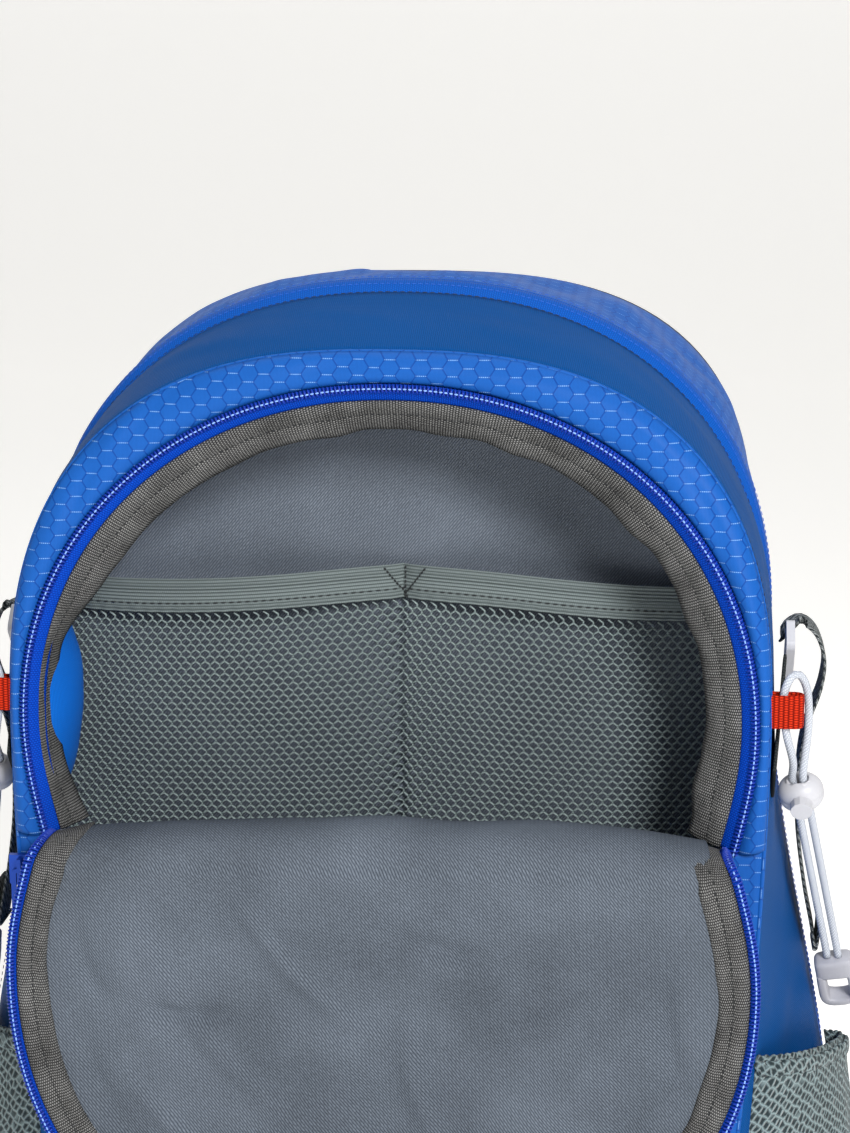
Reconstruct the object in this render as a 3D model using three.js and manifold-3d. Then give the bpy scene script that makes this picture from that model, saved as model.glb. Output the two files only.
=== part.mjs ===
// A hiking daypack standing on its base: a rear half with the harness, and a front half that zips to it.
// The front half holds a lined compartment whose arched flap is unzipped and hangs down over its fold.
// Millimetres, +Z up, front towards -Y. The origin is the centre of the flat base.
import * as THREE from "three";
import { mergeVertices } from "three/addons/utils/BufferGeometryUtils.js";
import Module from "manifold-3d";

const wasm = await Module();
wasm.setup();

// Driving dimensions
const FRONT_Y = -92; // front panel at its edges
const BACK_Y = 83; // back panel's inner face
const ZIP_Y = -8; // plane of the main zip
const TUB_TOP = 60; // top of the base tub
const GAP = 0.5; // clearance between neighbouring pieces
const WALL = 2.4; // fabric with its lining and padding
const CROWN = 5; // how far the front panel bulges
const LEAN = 26; // how far the front panel leans back at its top
const LEAN_Z = 300; // where the lean starts
const FOLD_Z = 258; // fold line of the front flap
const FLAP_AXIS_Y = -108; // axis that the flap turns about
const HINGE_Y = -99; // axis that the front half turns about
const HINGE_Z = 61.2;
const CORD = 3.2; // pole cord's diameter
const WEB = 1.6; // webbing's thickness

// Half outlines in the XZ plane: straight flaring sides up to the spring line, then a superellipse arch
const FRONT_OUTLINE = { foot: 134, footZ: 62.5, spring: 149, springZ: 308, crownZ: 449, power: 2.15 };
const BORDER_OUTLINE = { foot: 148.2, footZ: 257, spring: 149, springZ: 308, crownZ: 449, power: 2.15 };
const OPENING_OUTLINE = { foot: 137, footZ: 257, spring: 144.5, springZ: 305, crownZ: 437, power: 2.1 };
const ZIP_OUTLINE = { foot: 166, footZ: 62.5, spring: 150, springZ: 320, crownZ: 466, power: 2.3, belly: 20 };
const BACK_OUTLINE = { foot: 154, footZ: 60.5, spring: 146, springZ: 330, crownZ: 462, power: 2.8 };

const pack = new THREE.Group();
const rearHalf = new THREE.Group();
const frontHalf = new THREE.Group();
const flap = new THREE.Group();
pack.add(rearHalf, frontHalf);
frontHalf.add(flap);

// Materials
const finish = (color, roughness, metalness = 0) =>
  new THREE.MeshStandardMaterial({ color, roughness, metalness });
const hexFabric = finish(0x2f6fd6, 0.6);
const sideFabric = finish(0x0f4f96, 0.7);
const lining = finish(0x6f757e, 0.6);
const binding = finish(0x55534f, 0.9);
const mesh = finish(0x5d6a6b, 0.9);
const elastic = finish(0x737c7a, 0.9);
const zipBlue = finish(0x0b45cf, 0.5);
const webbing = finish(0x3d4446, 0.85);
const redWebbing = finish(0xc2310f, 0.8);
const cordGrey = finish(0xc9ced6, 0.7);
const whitePlastic = finish(0xdcdce2, 0.4);
const greyPlastic = finish(0x3a3d41, 0.5);
const padding = finish(0x2c3136, 0.9);
const board = finish(0xe8e8e4, 0.5);
const zincPaint = finish(0x123f9e, 0.4, 0.6);

// ---------- helpers ----------

const lerp = THREE.MathUtils.lerp;

// An outline's half width at a height below its spring line: it tapers, and its belly swells low down.
function halfWidth({ foot, footZ, spring, springZ, belly = 0 }, z) {
  const t = Math.min(1, (z - footZ) / (springZ - footZ));
  const swell = belly * Math.max(0, Math.sin(Math.sqrt(t) * Math.PI)) ** 1.5;
  return lerp(foot, spring, Math.sin((t * Math.PI) / 2)) + swell;
}

// The whole outline from the left foot over the top to the right foot, as [x, z] points.
function arch(outline, sideSteps, arcSteps) {
  const { footZ, spring, springZ, crownZ, power } = outline;
  const half = [];
  for (let i = 0; i <= sideSteps; i++) {
    const z = lerp(footZ, springZ, i / sideSteps);
    half.push([halfWidth(outline, z), z]);
  }
  for (let j = 1; j <= arcSteps; j++) {
    const a = ((j / arcSteps) * Math.PI) / 2;
    const x = j === arcSteps ? 0 : spring * Math.cos(a) ** (2 / power);
    half.push([x, springZ + (crownZ - springZ) * Math.sin(a) ** (2 / power)]);
  }
  const left = half.map(([x, z]) => [-x, z]);
  return [...left, ...half.slice(0, -1).reverse()];
}

// An open outline moved inwards by a distance, along its own normals.
function inset(outline, distance) {
  return outline.map(([x, z], i) => {
    const [ax, az] = outline[Math.max(i - 1, 0)];
    const [bx, bz] = outline[Math.min(i + 1, outline.length - 1)];
    const length = Math.hypot(bx - ax, bz - az);
    return [x + ((bz - az) / length) * distance, z - ((bx - ax) / length) * distance];
  });
}

// The front panel's surface: y for a place on it.
function frontY(x, z) {
  const rise = Math.max(0, (z - LEAN_Z) / 150);
  return FRONT_Y - CROWN * (1 - (x / 150) ** 2) + LEAN * rise ** 1.8;
}

// A BufferGeometry that faces out, whichever way its triangles were listed.
function closedGeometry(points, triangles) {
  let volume = 0;
  const at = (i) => points[i];
  for (const [a, b, c] of triangles) volume += at(a).dot(at(b).clone().cross(at(c)));
  const index = triangles.flatMap(([a, b, c]) => (volume < 0 ? [a, c, b] : [a, b, c]));
  const geometry = new THREE.BufferGeometry().setFromPoints(points).setIndex(index);
  geometry.computeVertexNormals();
  return geometry;
}

// A solid skinned through rings that have equal numbers of points, with flat caps or joined end to end.
function skin(rings, joined = false) {
  const count = rings[0].length;
  const triangles = [];
  const last = joined ? rings.length : rings.length - 1;
  for (let i = 0; i < last; i++) {
    const next = ((i + 1) % rings.length) * count;
    for (let j = 0; j < count; j++) {
      const k = (j + 1) % count;
      triangles.push([i * count + j, i * count + k, next + k], [i * count + j, next + k, next + j]);
    }
  }
  if (!joined) {
    const end = (rings.length - 1) * count;
    for (let j = 1; j < count - 1; j++) triangles.push([0, j + 1, j], [end, end + j, end + j + 1]);
  }
  return closedGeometry(rings.flat(), triangles);
}

// A plate over a surface given as a function of two parameters, thickened by a vector.
function slab(surface, columns, rows, thickness) {
  const rings = [];
  for (let i = 0; i <= rows; i++) {
    const near = [];
    for (let j = 0; j <= columns; j++) near.push(surface(j / columns, i / rows));
    const far = near.map((p) => p.clone().add(thickness)).reverse();
    rings.push([...near, ...far]);
  }
  const count = rings[0].length;
  const triangles = [];
  for (let i = 0; i < rows; i++)
    for (let j = 0; j < count; j++) {
      const k = (j + 1) % count;
      const [a, b] = [i * count, (i + 1) * count];
      triangles.push([a + j, a + k, b + k], [a + j, b + k, b + j]);
    }
  for (const [row, turn] of [[0, 1], [rows, 0]])
    for (let j = 0; j < columns; j++) {
      const [p, q] = [row * count + j, row * count + j + 1];
      const [r, s] = [row * count + count - 2 - j, row * count + count - 1 - j];
      triangles.push(turn ? [p, r, q] : [p, q, r], turn ? [p, s, r] : [p, r, s]);
    }
  return closedGeometry(rings.flat(), triangles);
}

// A flat strap along a path: width lies along the given direction, thickness along the path's normal.
function strap(path, width, thickness, across, steps = path.length * 3) {
  const curve = new THREE.CatmullRomCurve3(path.map((p) => new THREE.Vector3(...p)), false, "centripetal");
  const rings = [];
  for (let i = 0; i <= steps; i++) {
    const p = curve.getPoint(i / steps);
    const tangent = curve.getTangent(i / steps);
    const side = new THREE.Vector3(...across);
    side.addScaledVector(tangent, -side.dot(tangent)).normalize();
    const normal = tangent.clone().cross(side);
    const corner = (s, n) =>
      p.clone().addScaledVector(side, s * width).addScaledVector(normal, n * thickness);
    rings.push([corner(0.5, 0.5), corner(-0.5, 0.5), corner(-0.5, -0.5), corner(0.5, -0.5)]);
  }
  return skin(rings);
}

// A band between two outlines, WALL thick inwards; each edge is [outline, y as a number or a function].
function band([outer, outerY], [inner, innerY], thickness = WALL) {
  const yOf = (y, [x, z]) => (typeof y === "function" ? y(x, z) : y);
  const [outerIn, innerIn] = [inset(outer, thickness), inset(inner, thickness)];
  return skin(
    outer.map((_, i) => [
      new THREE.Vector3(outer[i][0], yOf(outerY, outer[i]), outer[i][1]),
      new THREE.Vector3(inner[i][0], yOf(innerY, inner[i]), inner[i][1]),
      new THREE.Vector3(innerIn[i][0], yOf(innerY, inner[i]), innerIn[i][1]),
      new THREE.Vector3(outerIn[i][0], yOf(outerY, outer[i]), outerIn[i][1]),
    ]),
  );
}

// A ribbon whose section runs from [inset, depth] to [inset, depth] of an outline on the front surface.
function ribbon(outline, [nearInset, nearDepth], [farInset, farDepth], thickness) {
  const [near, far] = [inset(outline, nearInset), inset(outline, farInset)];
  return skin(
    near.map(([x, z], i) => {
      const [u, w] = far[i];
      const y = frontY(...outline[i]);
      return [
        new THREE.Vector3(x, y + nearDepth, z),
        new THREE.Vector3(u, y + farDepth, w),
        new THREE.Vector3(u, y + farDepth + thickness, w),
        new THREE.Vector3(x, y + nearDepth + thickness, z),
      ];
    }),
  );
}

// A flat plate in the XZ plane from an outline, between two depths.
function plate(outline, nearY, farY) {
  const shape = new THREE.Shape(outline.map(([x, z]) => new THREE.Vector2(x, z)));
  const geometry = new THREE.ExtrudeGeometry(shape, { depth: farY - nearY, bevelEnabled: false });
  return geometry.rotateX(Math.PI / 2).translate(0, farY, 0);
}

// A mesh's own geometry as a manifold solid, and back.
function toSolid(geometry) {
  const bare = geometry.index ? geometry.toNonIndexed() : geometry.clone();
  bare.deleteAttribute("normal");
  if (bare.getAttribute("uv")) bare.deleteAttribute("uv");
  const merged = mergeVertices(bare, 1e-4);
  const vertProperties = new Float32Array(merged.attributes.position.array);
  return new wasm.Manifold(
    new wasm.Mesh({ numProp: 3, vertProperties, triVerts: new Uint32Array(merged.index.array) }),
  );
}
function fromSolid(solid) {
  const made = solid.getMesh();
  const geometry = new THREE.BufferGeometry();
  geometry.setAttribute("position", new THREE.BufferAttribute(new Float32Array(made.vertProperties), 3));
  geometry.setIndex(new THREE.BufferAttribute(new Uint32Array(made.triVerts), 1));
  geometry.computeVertexNormals();
  return geometry;
}
const block = (x, y, z, at = [0, 0, 0]) => new THREE.BoxGeometry(x, y, z).translate(...at);
const cut = (body, ...tools) =>
  fromSolid(tools.reduce((solid, tool) => solid.subtract(toSolid(tool)), toSolid(body)));
const join = (...bodies) =>
  fromSolid(bodies.slice(1).reduce((solid, body) => solid.add(toSolid(body)), toSolid(bodies[0])));

// A plate with rounded corners, width by height, centred, extruded along +Z.
function roundedPlate(width, height, radius, depth, holes = []) {
  const rounded = (w, h, r, [cx, cy], path) => {
    path.moveTo(cx - w / 2 + r, cy - h / 2);
    path.lineTo(cx + w / 2 - r, cy - h / 2);
    path.absarc(cx + w / 2 - r, cy - h / 2 + r, r, -Math.PI / 2, 0);
    path.lineTo(cx + w / 2, cy + h / 2 - r);
    path.absarc(cx + w / 2 - r, cy + h / 2 - r, r, 0, Math.PI / 2);
    path.lineTo(cx - w / 2 + r, cy + h / 2);
    path.absarc(cx - w / 2 + r, cy + h / 2 - r, r, Math.PI / 2, Math.PI);
    path.lineTo(cx - w / 2, cy - h / 2 + r);
    path.absarc(cx - w / 2 + r, cy - h / 2 + r, r, Math.PI, 1.5 * Math.PI);
    return path;
  };
  const shape = rounded(width, height, radius, [0, 0], new THREE.Shape());
  for (const [w, h, centre] of holes) shape.holes.push(rounded(w, h, 1, centre, new THREE.Path()));
  return new THREE.ExtrudeGeometry(shape, { depth, bevelEnabled: false, curveSegments: 3 });
}

function add(group, name, geometry, material, place = [0, 0, 0]) {
  const piece = new THREE.Mesh(geometry, material);
  piece.name = name;
  piece.position.set(...place);
  group.add(piece);
  return piece;
}

// Turns a mesh so that its local Z runs along a direction and its local X lies nearest another.
function aim(piece, along, across) {
  const z = new THREE.Vector3(...along).normalize();
  const x = new THREE.Vector3(...across);
  x.addScaledVector(z, -x.dot(z)).normalize();
  piece.quaternion.setFromRotationMatrix(new THREE.Matrix4().makeBasis(x, z.clone().cross(x), z));
  return piece;
}

// ---------- rear half ----------

const SIDE_STEPS = 5;
const ARC_STEPS = 9;

// Base tub: a rounded tray whose rim meets both halves.
function baseTub() {
  const half = new THREE.Path().moveTo(0, -97).lineTo(102, -95.5);
  half.quadraticCurveTo(134, -93, 151, -58).quadraticCurveTo(166, -22, 166, 8).lineTo(157, 68);
  half.quadraticCurveTo(154, BACK_Y, 140, BACK_Y).lineTo(0, BACK_Y);
  const right = half.getPoints(6);
  const left = right.slice(1, -1).reverse().map(({ x, y }) => new THREE.Vector2(-x, y));
  const rim = [...right, ...left];
  const ring = (z, by) =>
    rim.map((p, i) => {
      const [a, b] = [rim[(i + rim.length - 1) % rim.length], rim[(i + 1) % rim.length]];
      const length = Math.hypot(b.x - a.x, b.y - a.y);
      return new THREE.Vector3(p.x - ((b.y - a.y) / length) * by, p.y + ((b.x - a.x) / length) * by, z);
    });
  const outside = [ring(0, 14), ring(5, 5), ring(16, 0), ring(TUB_TOP, 0)];
  const inside = [ring(TUB_TOP, WALL), ring(17, WALL), ring(6, 8), ring(2.6, 16)];
  return skin([...outside, ...inside]);
}
add(rearHalf, "base_tub", baseTub(), sideFabric);

const rearZipOutline = { ...ZIP_OUTLINE, footZ: 60.5 };
const zipEdge = arch(rearZipOutline, SIDE_STEPS, ARC_STEPS);
const backEdge = arch(BACK_OUTLINE, SIDE_STEPS, ARC_STEPS);
add(rearHalf, "rear_gusset", band([zipEdge, 4], [backEdge, BACK_Y - GAP]), hexFabric);
add(rearHalf, "main_zip_rear", band([zipEdge, ZIP_Y + 0.3], [zipEdge, 4 - GAP], 1.8), zipBlue);

const backPlate = { foot: 146, footZ: 6, spring: 146, springZ: 330, crownZ: 461, power: 2.8 };
add(rearHalf, "back_panel", plate(arch(backPlate, 2, ARC_STEPS), BACK_Y + GAP, BACK_Y + 10), padding);
const sheetOutline = { foot: 120, footZ: 30, spring: 125, springZ: 320, crownZ: 430, power: 2.4 };
add(rearHalf, "frame_sheet", plate(arch(sheetOutline, 1, 6), BACK_Y - 7, BACK_Y - 5), board);

const PAD_Y = BACK_Y + 10.5;
for (const [side, sign] of [["left", -1], ["right", 1]]) {
  const pad = roundedPlate(76, 286, 30, 13);
  add(rearHalf, `back_pad_${side}`, pad.rotateX(Math.PI / 2), mesh, [sign * 58, PAD_Y + 13, 257]);
}
const lumbar = roundedPlate(204, 76, 32, 15).rotateX(Math.PI / 2);
add(rearHalf, "lumbar_pad", lumbar, mesh, [0, PAD_Y + 15, 64]);

// Haul loop: hangs behind the back panel from its two sewn ends.
const haulPath = [[-25, 103, 452], [-22, 103, 437], [0, 103, 424], [22, 103, 437], [25, 103, 452]];
add(rearHalf, "haul_loop", strap(haulPath, 12, 3, [0, 1, 0], 14), webbing);

// Shoulder straps with their ladder locks and lower webbing.
const strapPath = [
  [58, 102, 420], [60, 115, 436], [63, 135, 428], [67, 150, 395], [72, 156, 345],
  [79, 156, 290], [88, 150, 235], [98, 140, 190], [106, 130, 160],
];
const lockCentre = [110.2, 124.5, 146];
const lowerPath = [[113, 120, 132], [126, 108, 108], [138, 96.5, 86]];
const mirror = (path, sign) => path.map(([x, y, z]) => [sign * x, y, z]);
for (const [side, sign] of [["left", -1], ["right", 1]]) {
  add(rearHalf, `shoulder_strap_${side}`, strap(mirror(strapPath, sign), 54, 11, [1, 0, 0], 20), padding);
  const ladder = roundedPlate(36, 24, 4, 4, [[27, 4, [0, 5]], [27, 4, [0, -4]]]).translate(0, 0, -2);
  const lock = add(rearHalf, `ladderlock_${side}`, ladder, greyPlastic, mirror([lockCentre], sign)[0]);
  aim(lock, [sign * 0.28, 0.88, -0.4], [1, 0, 0]);
  add(rearHalf, `shoulder_webbing_${side}`, strap(mirror(lowerPath, sign), 25, WEB, [1, 0, 0], 6), webbing);
}

// A side-release buckle lying along X: the female half is a sleeve, the male half has two prongs in it.
function buckle(group, name, width, [x, y, z]) {
  const sleeve = block(width * 1.25, 9, width, [width * 0.625 + 1, 0, 0]);
  const mouth = block(width * 0.9, 5.4, width - 5, [width * 0.4, 0, 0]);
  const bar = block(4, 12, width - 7, [width * 1.12, 0, 0]);
  add(group, `${name}_buckle_female`, cut(sleeve, mouth, bar), greyPlastic, [x, y, z]);
  const body = block(width * 0.8, 7, width - 1, [-width * 0.4 - 0.5, 0, 0]);
  const slot = block(4, 12, width - 7, [-width * 0.65, 0, 0]);
  const prong = (s) => block(width * 0.7, 3.6, 4, [width * 0.25, 0, s * (width / 2 - 6)]);
  const male = fromSolid(toSolid(join(body, prong(1), prong(-1))).subtract(toSolid(slot)));
  add(group, `${name}_buckle_male`, male, greyPlastic, [x, y, z]);
}

// Sternum strap: two clips on the shoulder straps, webbing and a buckle between them.
const STERNUM_Z = 316;
buckle(rearHalf, "sternum", 24, [0, 169, STERNUM_Z]);
for (const [side, sign] of [["left", -1], ["right", 1]]) {
  const clip = roundedPlate(20, 30, 4, 4).rotateX(Math.PI / 2);
  add(rearHalf, `sternum_clip_${side}`, clip, greyPlastic, [sign * 75, 167.5, STERNUM_Z]);
  const reach = sign < 0 ? -34 : 38;
  const inner = sign < 0 ? -12 : 30;
  const path = [[sign * 64, 165, STERNUM_Z], [reach, 163.2, STERNUM_Z], [inner, 162.6, STERNUM_Z]];
  add(rearHalf, `sternum_webbing_${side}`, strap(path, 18, WEB, [0, 0, 1], 4), webbing);
}

// Waist belt, fastened behind the back panel.
const WAIST_Z = 50;
buckle(rearHalf, "waist", 28, [0, 122, WAIST_Z]);
for (const [side, sign] of [["left", -1], ["right", 1]]) {
  const inner = sign < 0 ? -14 : 34;
  const plan = [[sign * 143, 96], [sign * 122, 106], [sign * 98, 113], [inner, 116]];
  const path = plan.map(([x, y]) => [x, y, WAIST_Z]);
  add(rearHalf, `waist_webbing_${side}`, strap(path, 25, WEB, [0, 0, 1], 9), webbing);
}

// ---------- front half ----------

const frontEdge = arch(FRONT_OUTLINE, SIDE_STEPS, ARC_STEPS);
const frontZipEdge = arch(ZIP_OUTLINE, SIDE_STEPS, ARC_STEPS);
const behindPanel = (x, z) => frontY(x, z) + WALL + GAP;
add(frontHalf, "front_gusset", band([frontEdge, behindPanel], [frontZipEdge, -20]), sideFabric);
add(frontHalf, "main_zip_front", band([frontZipEdge, -20 + GAP], [frontZipEdge, ZIP_Y - 0.3], 1.8), zipBlue);

// Lower front panel, up to the fold.
const widthAt = (z) => halfWidth(FRONT_OUTLINE, z);
const lowerFront = (u, v) => {
  const z = lerp(62.5, FOLD_Z - 1.5, v);
  const x = lerp(-1, 1, u) * widthAt(z);
  return new THREE.Vector3(x, frontY(x, z), z);
};
add(frontHalf, "front_panel_lower", slab(lowerFront, 6, 4, new THREE.Vector3(0, WALL, 0)), hexFabric);

// Border round the opening, between its edge and the gusset seam.
const openingEdge = arch(OPENING_OUTLINE, 3, 10);
const borderEdge = arch(BORDER_OUTLINE, 3, 10);
const border = openingEdge.map((p, i) => {
  const [[x, z], [u, w]] = [p, borderEdge[i]];
  const corner = (a, b, depth) => new THREE.Vector3(a, frontY(a, b) + depth, b);
  return [corner(x, z, 0), corner(u, w, 0), corner(u, w, WALL), corner(x, z, WALL)];
});
add(frontHalf, "front_panel_border", skin(border), hexFabric);
add(frontHalf, "opening_zip", ribbon(openingEdge, [1.2, -0.5], [6, 5], 1.5), zipBlue);
add(frontHalf, "opening_binding", ribbon(openingEdge, [6.5, 6], [15, 13], 1.5), binding);

// Lining wall between the front compartment and the main one, and the compartment's floor.
add(frontHalf, "divider", plate(inset(arch(ZIP_OUTLINE, SIDE_STEPS, 8), WALL + 2 * GAP), -14, -12), lining);
const floorCorners = [[-129, -88], [129, -88], [150, -14.6], [-150, -14.6]];
const floorShape = new THREE.Shape(floorCorners.map((p) => new THREE.Vector2(...p)));
const floorPlate = new THREE.ExtrudeGeometry(floorShape, { depth: WALL, bevelEnabled: false });
add(frontHalf, "compartment_floor", floorPlate, lining, [0, 0, 62.6]);

// Organiser pocket of mesh in two bays, with a band of elastic along its top.
const ELASTIC_Z = 337;
const pocketX = (u, z) => lerp(-1, 1, u) * lerp(148, 143, (z - 68) / 280);
const pocketBulge = (u) => 13 * Math.sqrt(Math.abs(Math.sin(2 * Math.PI * u)));
const pocketY = (u, z) => -16.8 - pocketBulge(u) * Math.min(1, (z - 68) / 60);
const pocket = (low, high) => (u, v) => {
  const z = lerp(low, high, v);
  return new THREE.Vector3(pocketX(u, z), pocketY(u, z), z);
};
add(frontHalf, "mesh_pocket", slab(pocket(68, ELASTIC_Z), 16, 4, new THREE.Vector3(0, 1, 0)), mesh);
const pocketEdge = slab(pocket(ELASTIC_Z + GAP, ELASTIC_Z + 16), 16, 1, new THREE.Vector3(0, 1.6, 0));
add(frontHalf, "mesh_pocket_elastic", pocketEdge, elastic);

// Side pockets: an open-topped mesh wall that stands off the gusset, with a closed bottom.
function sidePocket(sign, low, high, thickness) {
  const plan = [[-84, 0], [-79, 9], [-66, 16], [-46, 17], [-32, 13], [-23, 8], [-20.5, 0]];
  const wallX = (y, z) => {
    const front = widthAt(z);
    return lerp(front, halfWidth(ZIP_OUTLINE, z), (y + 88) / 68);
  };
  const middle = -52;
  const section = (z, inner) =>
    plan.map(([y, out]) => {
      const depth = inner ? (out ? out - thickness : -4) : out;
      const along = inner ? lerp(y, middle, thickness / 32) : y;
      return new THREE.Vector3(sign * (wallX(y, z) + 5 * GAP + depth), along, z);
    });
  const shell = (from, to, inner) => skin([0, 1, 2, 3].map((i) => section(lerp(from, to, i / 3), inner)));
  return cut(shell(low, high, false), shell(low + 2, high + 1, true));
}
for (const [side, sign] of [["left", -1], ["right", 1]])
  add(frontHalf, `side_pocket_${side}`, sidePocket(sign, 66, 160, 1.4), mesh);

// Compression straps: fixed webbing up to a ladder lock on the side, and a tail that hangs from it.
const fixedPath = [[151.2, -85, 283], [152.8, -71, 295.3], [154.4, -57, 307.6], [155.9, -43.7, 319.3]];
const tailPath = [
  [158.1, -30.6, 330.9], [160.2, -27, 333.8], [164.5, -25.5, 334.4], [169.5, -26.5, 329.5],
  [172.4, -28, 320], [171.2, -29, 309], [167.5, -28, 297], [164.5, -26, 284], [163.5, -24, 268],
  [164.2, -22.5, 245], [167.4, -21.5, 222], [170.8, -21, 205], [172.4, -20.8, 196],
];
for (const [side, sign] of [["left", -1], ["right", 1]]) {
  const fixed = strap(mirror(fixedPath, sign), 20, WEB, [0, 0.66, -0.75], 6);
  add(frontHalf, `compression_strap_${side}`, fixed, webbing);
  const tail = strap(mirror(tailPath, sign), 20, WEB, [0, 0.95, 0], 30);
  add(frontHalf, `compression_tail_${side}`, tail, webbing);
  const ladder = roundedPlate(26, 14, 3, 3.4, [[20, 3, [0, 2.8]], [20, 3, [0, -2.8]]]).translate(0, 0, -1.7);
  const lock = add(frontHalf, `compression_lock_${side}`, ladder, whitePlastic, [sign * 158.1, -37.2, 325]);
  aim(lock, [sign, 0, 0], [0, 0.66, -0.75]);
}

// Pole cord: passes through a red tab on the seam, runs back through a cord lock, and ends in a hook.
const cordTop = [154.2, -88, 314];
const lockPlace = [162.8, -70, 275.5];
const hookPlace = [180.2, -29, 191.2];
const slideAxis = new THREE.Vector3(...hookPlace).sub(new THREE.Vector3(...lockPlace)).normalize();
const spread = 2.3; // half the spacing of the two strands
const along = (k) => new THREE.Vector3(...lockPlace).addScaledVector(slideAxis, k).toArray();
const strand = (offset, k) => {
  const [x, y, z] = along(k);
  return [x + offset, y, z];
};
const cordRoute = [
  strand(-spread, 95), strand(-spread, 62), strand(-spread, 30), strand(-spread, 0), strand(-spread, -8),
  [158.9, -80, 291], [155.8, -87, 304], cordTop, [154.4, -88, 321], [156.8, -87.6, 327],
  [160.6, -84, 327], [163.8, -80, 319], [164.6, -77, 304], strand(spread, -10),
  strand(spread, 0), strand(spread, 30), strand(spread, 62), strand(spread, 95),
];
for (const [side, sign] of [["left", -1], ["right", 1]]) {
  const points = mirror(cordRoute, sign).map((p) => new THREE.Vector3(...p));
  const curve = new THREE.CatmullRomCurve3(points, false, "centripetal");
  const section = new THREE.Shape();
  for (let i = 0; i < 8; i++) {
    const a = ((i + 0.5) / 8) * 2 * Math.PI;
    const [x, y] = [(CORD / 2) * Math.cos(a), (CORD / 2) * Math.sin(a)];
    if (i) section.lineTo(x, y);
    else section.moveTo(x, y);
  }
  const tube = new THREE.ExtrudeGeometry(section, { extrudePath: curve, steps: 60, bevelEnabled: false });
  add(frontHalf, `pole_cord_${side}`, tube, cordGrey);

  // The tab is a folded loop of webbing with its hole upright, so the cord passes through along Z.
  const tabOutline = new THREE.Shape();
  tabOutline.moveTo(0, -3.4);
  tabOutline.lineTo(9, -3.4);
  tabOutline.absarc(9, 0, 3.4, -Math.PI / 2, Math.PI / 2);
  tabOutline.lineTo(0, 3.4);
  const tabHole = new THREE.Path();
  tabHole.moveTo(1.5, -2.2);
  tabHole.lineTo(9, -2.2);
  tabHole.absarc(9, 0, 2.2, -Math.PI / 2, Math.PI / 2);
  tabHole.lineTo(1.5, 2.2);
  tabOutline.holes.push(tabHole);
  const tab = new THREE.ExtrudeGeometry(tabOutline, { depth: 13, bevelEnabled: false, curveSegments: 5 });
  if (sign < 0) tab.rotateZ(Math.PI);
  add(frontHalf, `pole_tab_${side}`, tab, redWebbing, [sign * 149.6, -88, 307.5]);

  // Hook at the end of the cord.
  const hook = cut(
    join(block(16, 9, 24, [0, 0, -12]), block(16, 4, 6, [0, -2.5, -25])),
    block(9, 12, 8, [0, 0, -16]),
  );
  const end = add(frontHalf, `cord_hook_${side}`, hook, whitePlastic, [0, 0, 0]);
  end.position.set(...mirror([along(95.6)], sign)[0]);
  aim(end, [-sign * slideAxis.x, -slideAxis.y, -slideAxis.z], [1, 0, 0]);

  // Cord lock: a barrel that both strands run through, with a push button on top of it.
  const barrel = new THREE.CylinderGeometry(8, 7, 14, 16).rotateX(Math.PI / 2);
  const bore = block(2 * spread + CORD + 1.2, CORD + 1.2, 30);
  const well = new THREE.CylinderGeometry(5, 5, 12, 12).translate(0, -9, 0);
  const shell = cut(barrel, bore, well);
  const lock = add(frontHalf, `cord_lock_${side}`, shell, whitePlastic, mirror([lockPlace], sign)[0]);
  aim(lock, [-sign * slideAxis.x, -slideAxis.y, -slideAxis.z], [1, 0, 0]);
  const cap = new THREE.CylinderGeometry(4.4, 4.4, 5.6, 12);
  const buttonAt = new THREE.Vector3(0, -8.6, 0).applyQuaternion(lock.quaternion).add(lock.position);
  const button = add(frontHalf, `cord_lock_button_${side}`, cap, whitePlastic, buttonAt.toArray());
  button.quaternion.copy(lock.quaternion);
}

// ---------- flap ----------

// The flap's closed shape turned half a turn about its axis, so that it hangs in front of the lower panel.
const opened = (x, y, z) => new THREE.Vector3(x, 2 * FLAP_AXIS_Y - y, 2 * FOLD_Z - z);
const flapEdge = inset(arch({ ...OPENING_OUTLINE, footZ: 262 }, 3, 10), 3);

function flapPlate(nearDepth, farDepth) {
  const half = flapEdge.slice(0, (flapEdge.length + 1) / 2).map(([x, z]) => [Math.max(3, -x), z]);
  const rings = half.map(([w, z]) => {
    const across = (s, depth) => opened(s * w, frontY(s * w, z) + depth, z);
    const sides = [-1, -0.6, -0.2, 0.2, 0.6, 1];
    return [...sides.map((s) => across(s, nearDepth)), ...sides.map((s) => across(-s, farDepth))];
  });
  return rings;
}
function capped(rings) {
  const count = rings[0].length;
  const triangles = [];
  for (let i = 0; i < rings.length - 1; i++)
    for (let j = 0; j < count; j++) {
      const k = (j + 1) % count;
      const [a, b] = [i * count, (i + 1) * count];
      triangles.push([a + j, a + k, b + k], [a + j, b + k, b + j]);
    }
  for (const [row, turn] of [[0, 1], [rings.length - 1, 0]])
    for (let j = 0; j < count / 2 - 1; j++) {
      const [p, q] = [row * count + j, row * count + j + 1];
      const [r, s] = [row * count + count - 2 - j, row * count + count - 1 - j];
      triangles.push(turn ? [p, r, q] : [p, q, r], turn ? [p, s, r] : [p, r, s]);
    }
  return closedGeometry(rings.flat(), triangles);
}
add(flap, "flap_panel", capped(flapPlate(-5, -2.6)), hexFabric);

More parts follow.
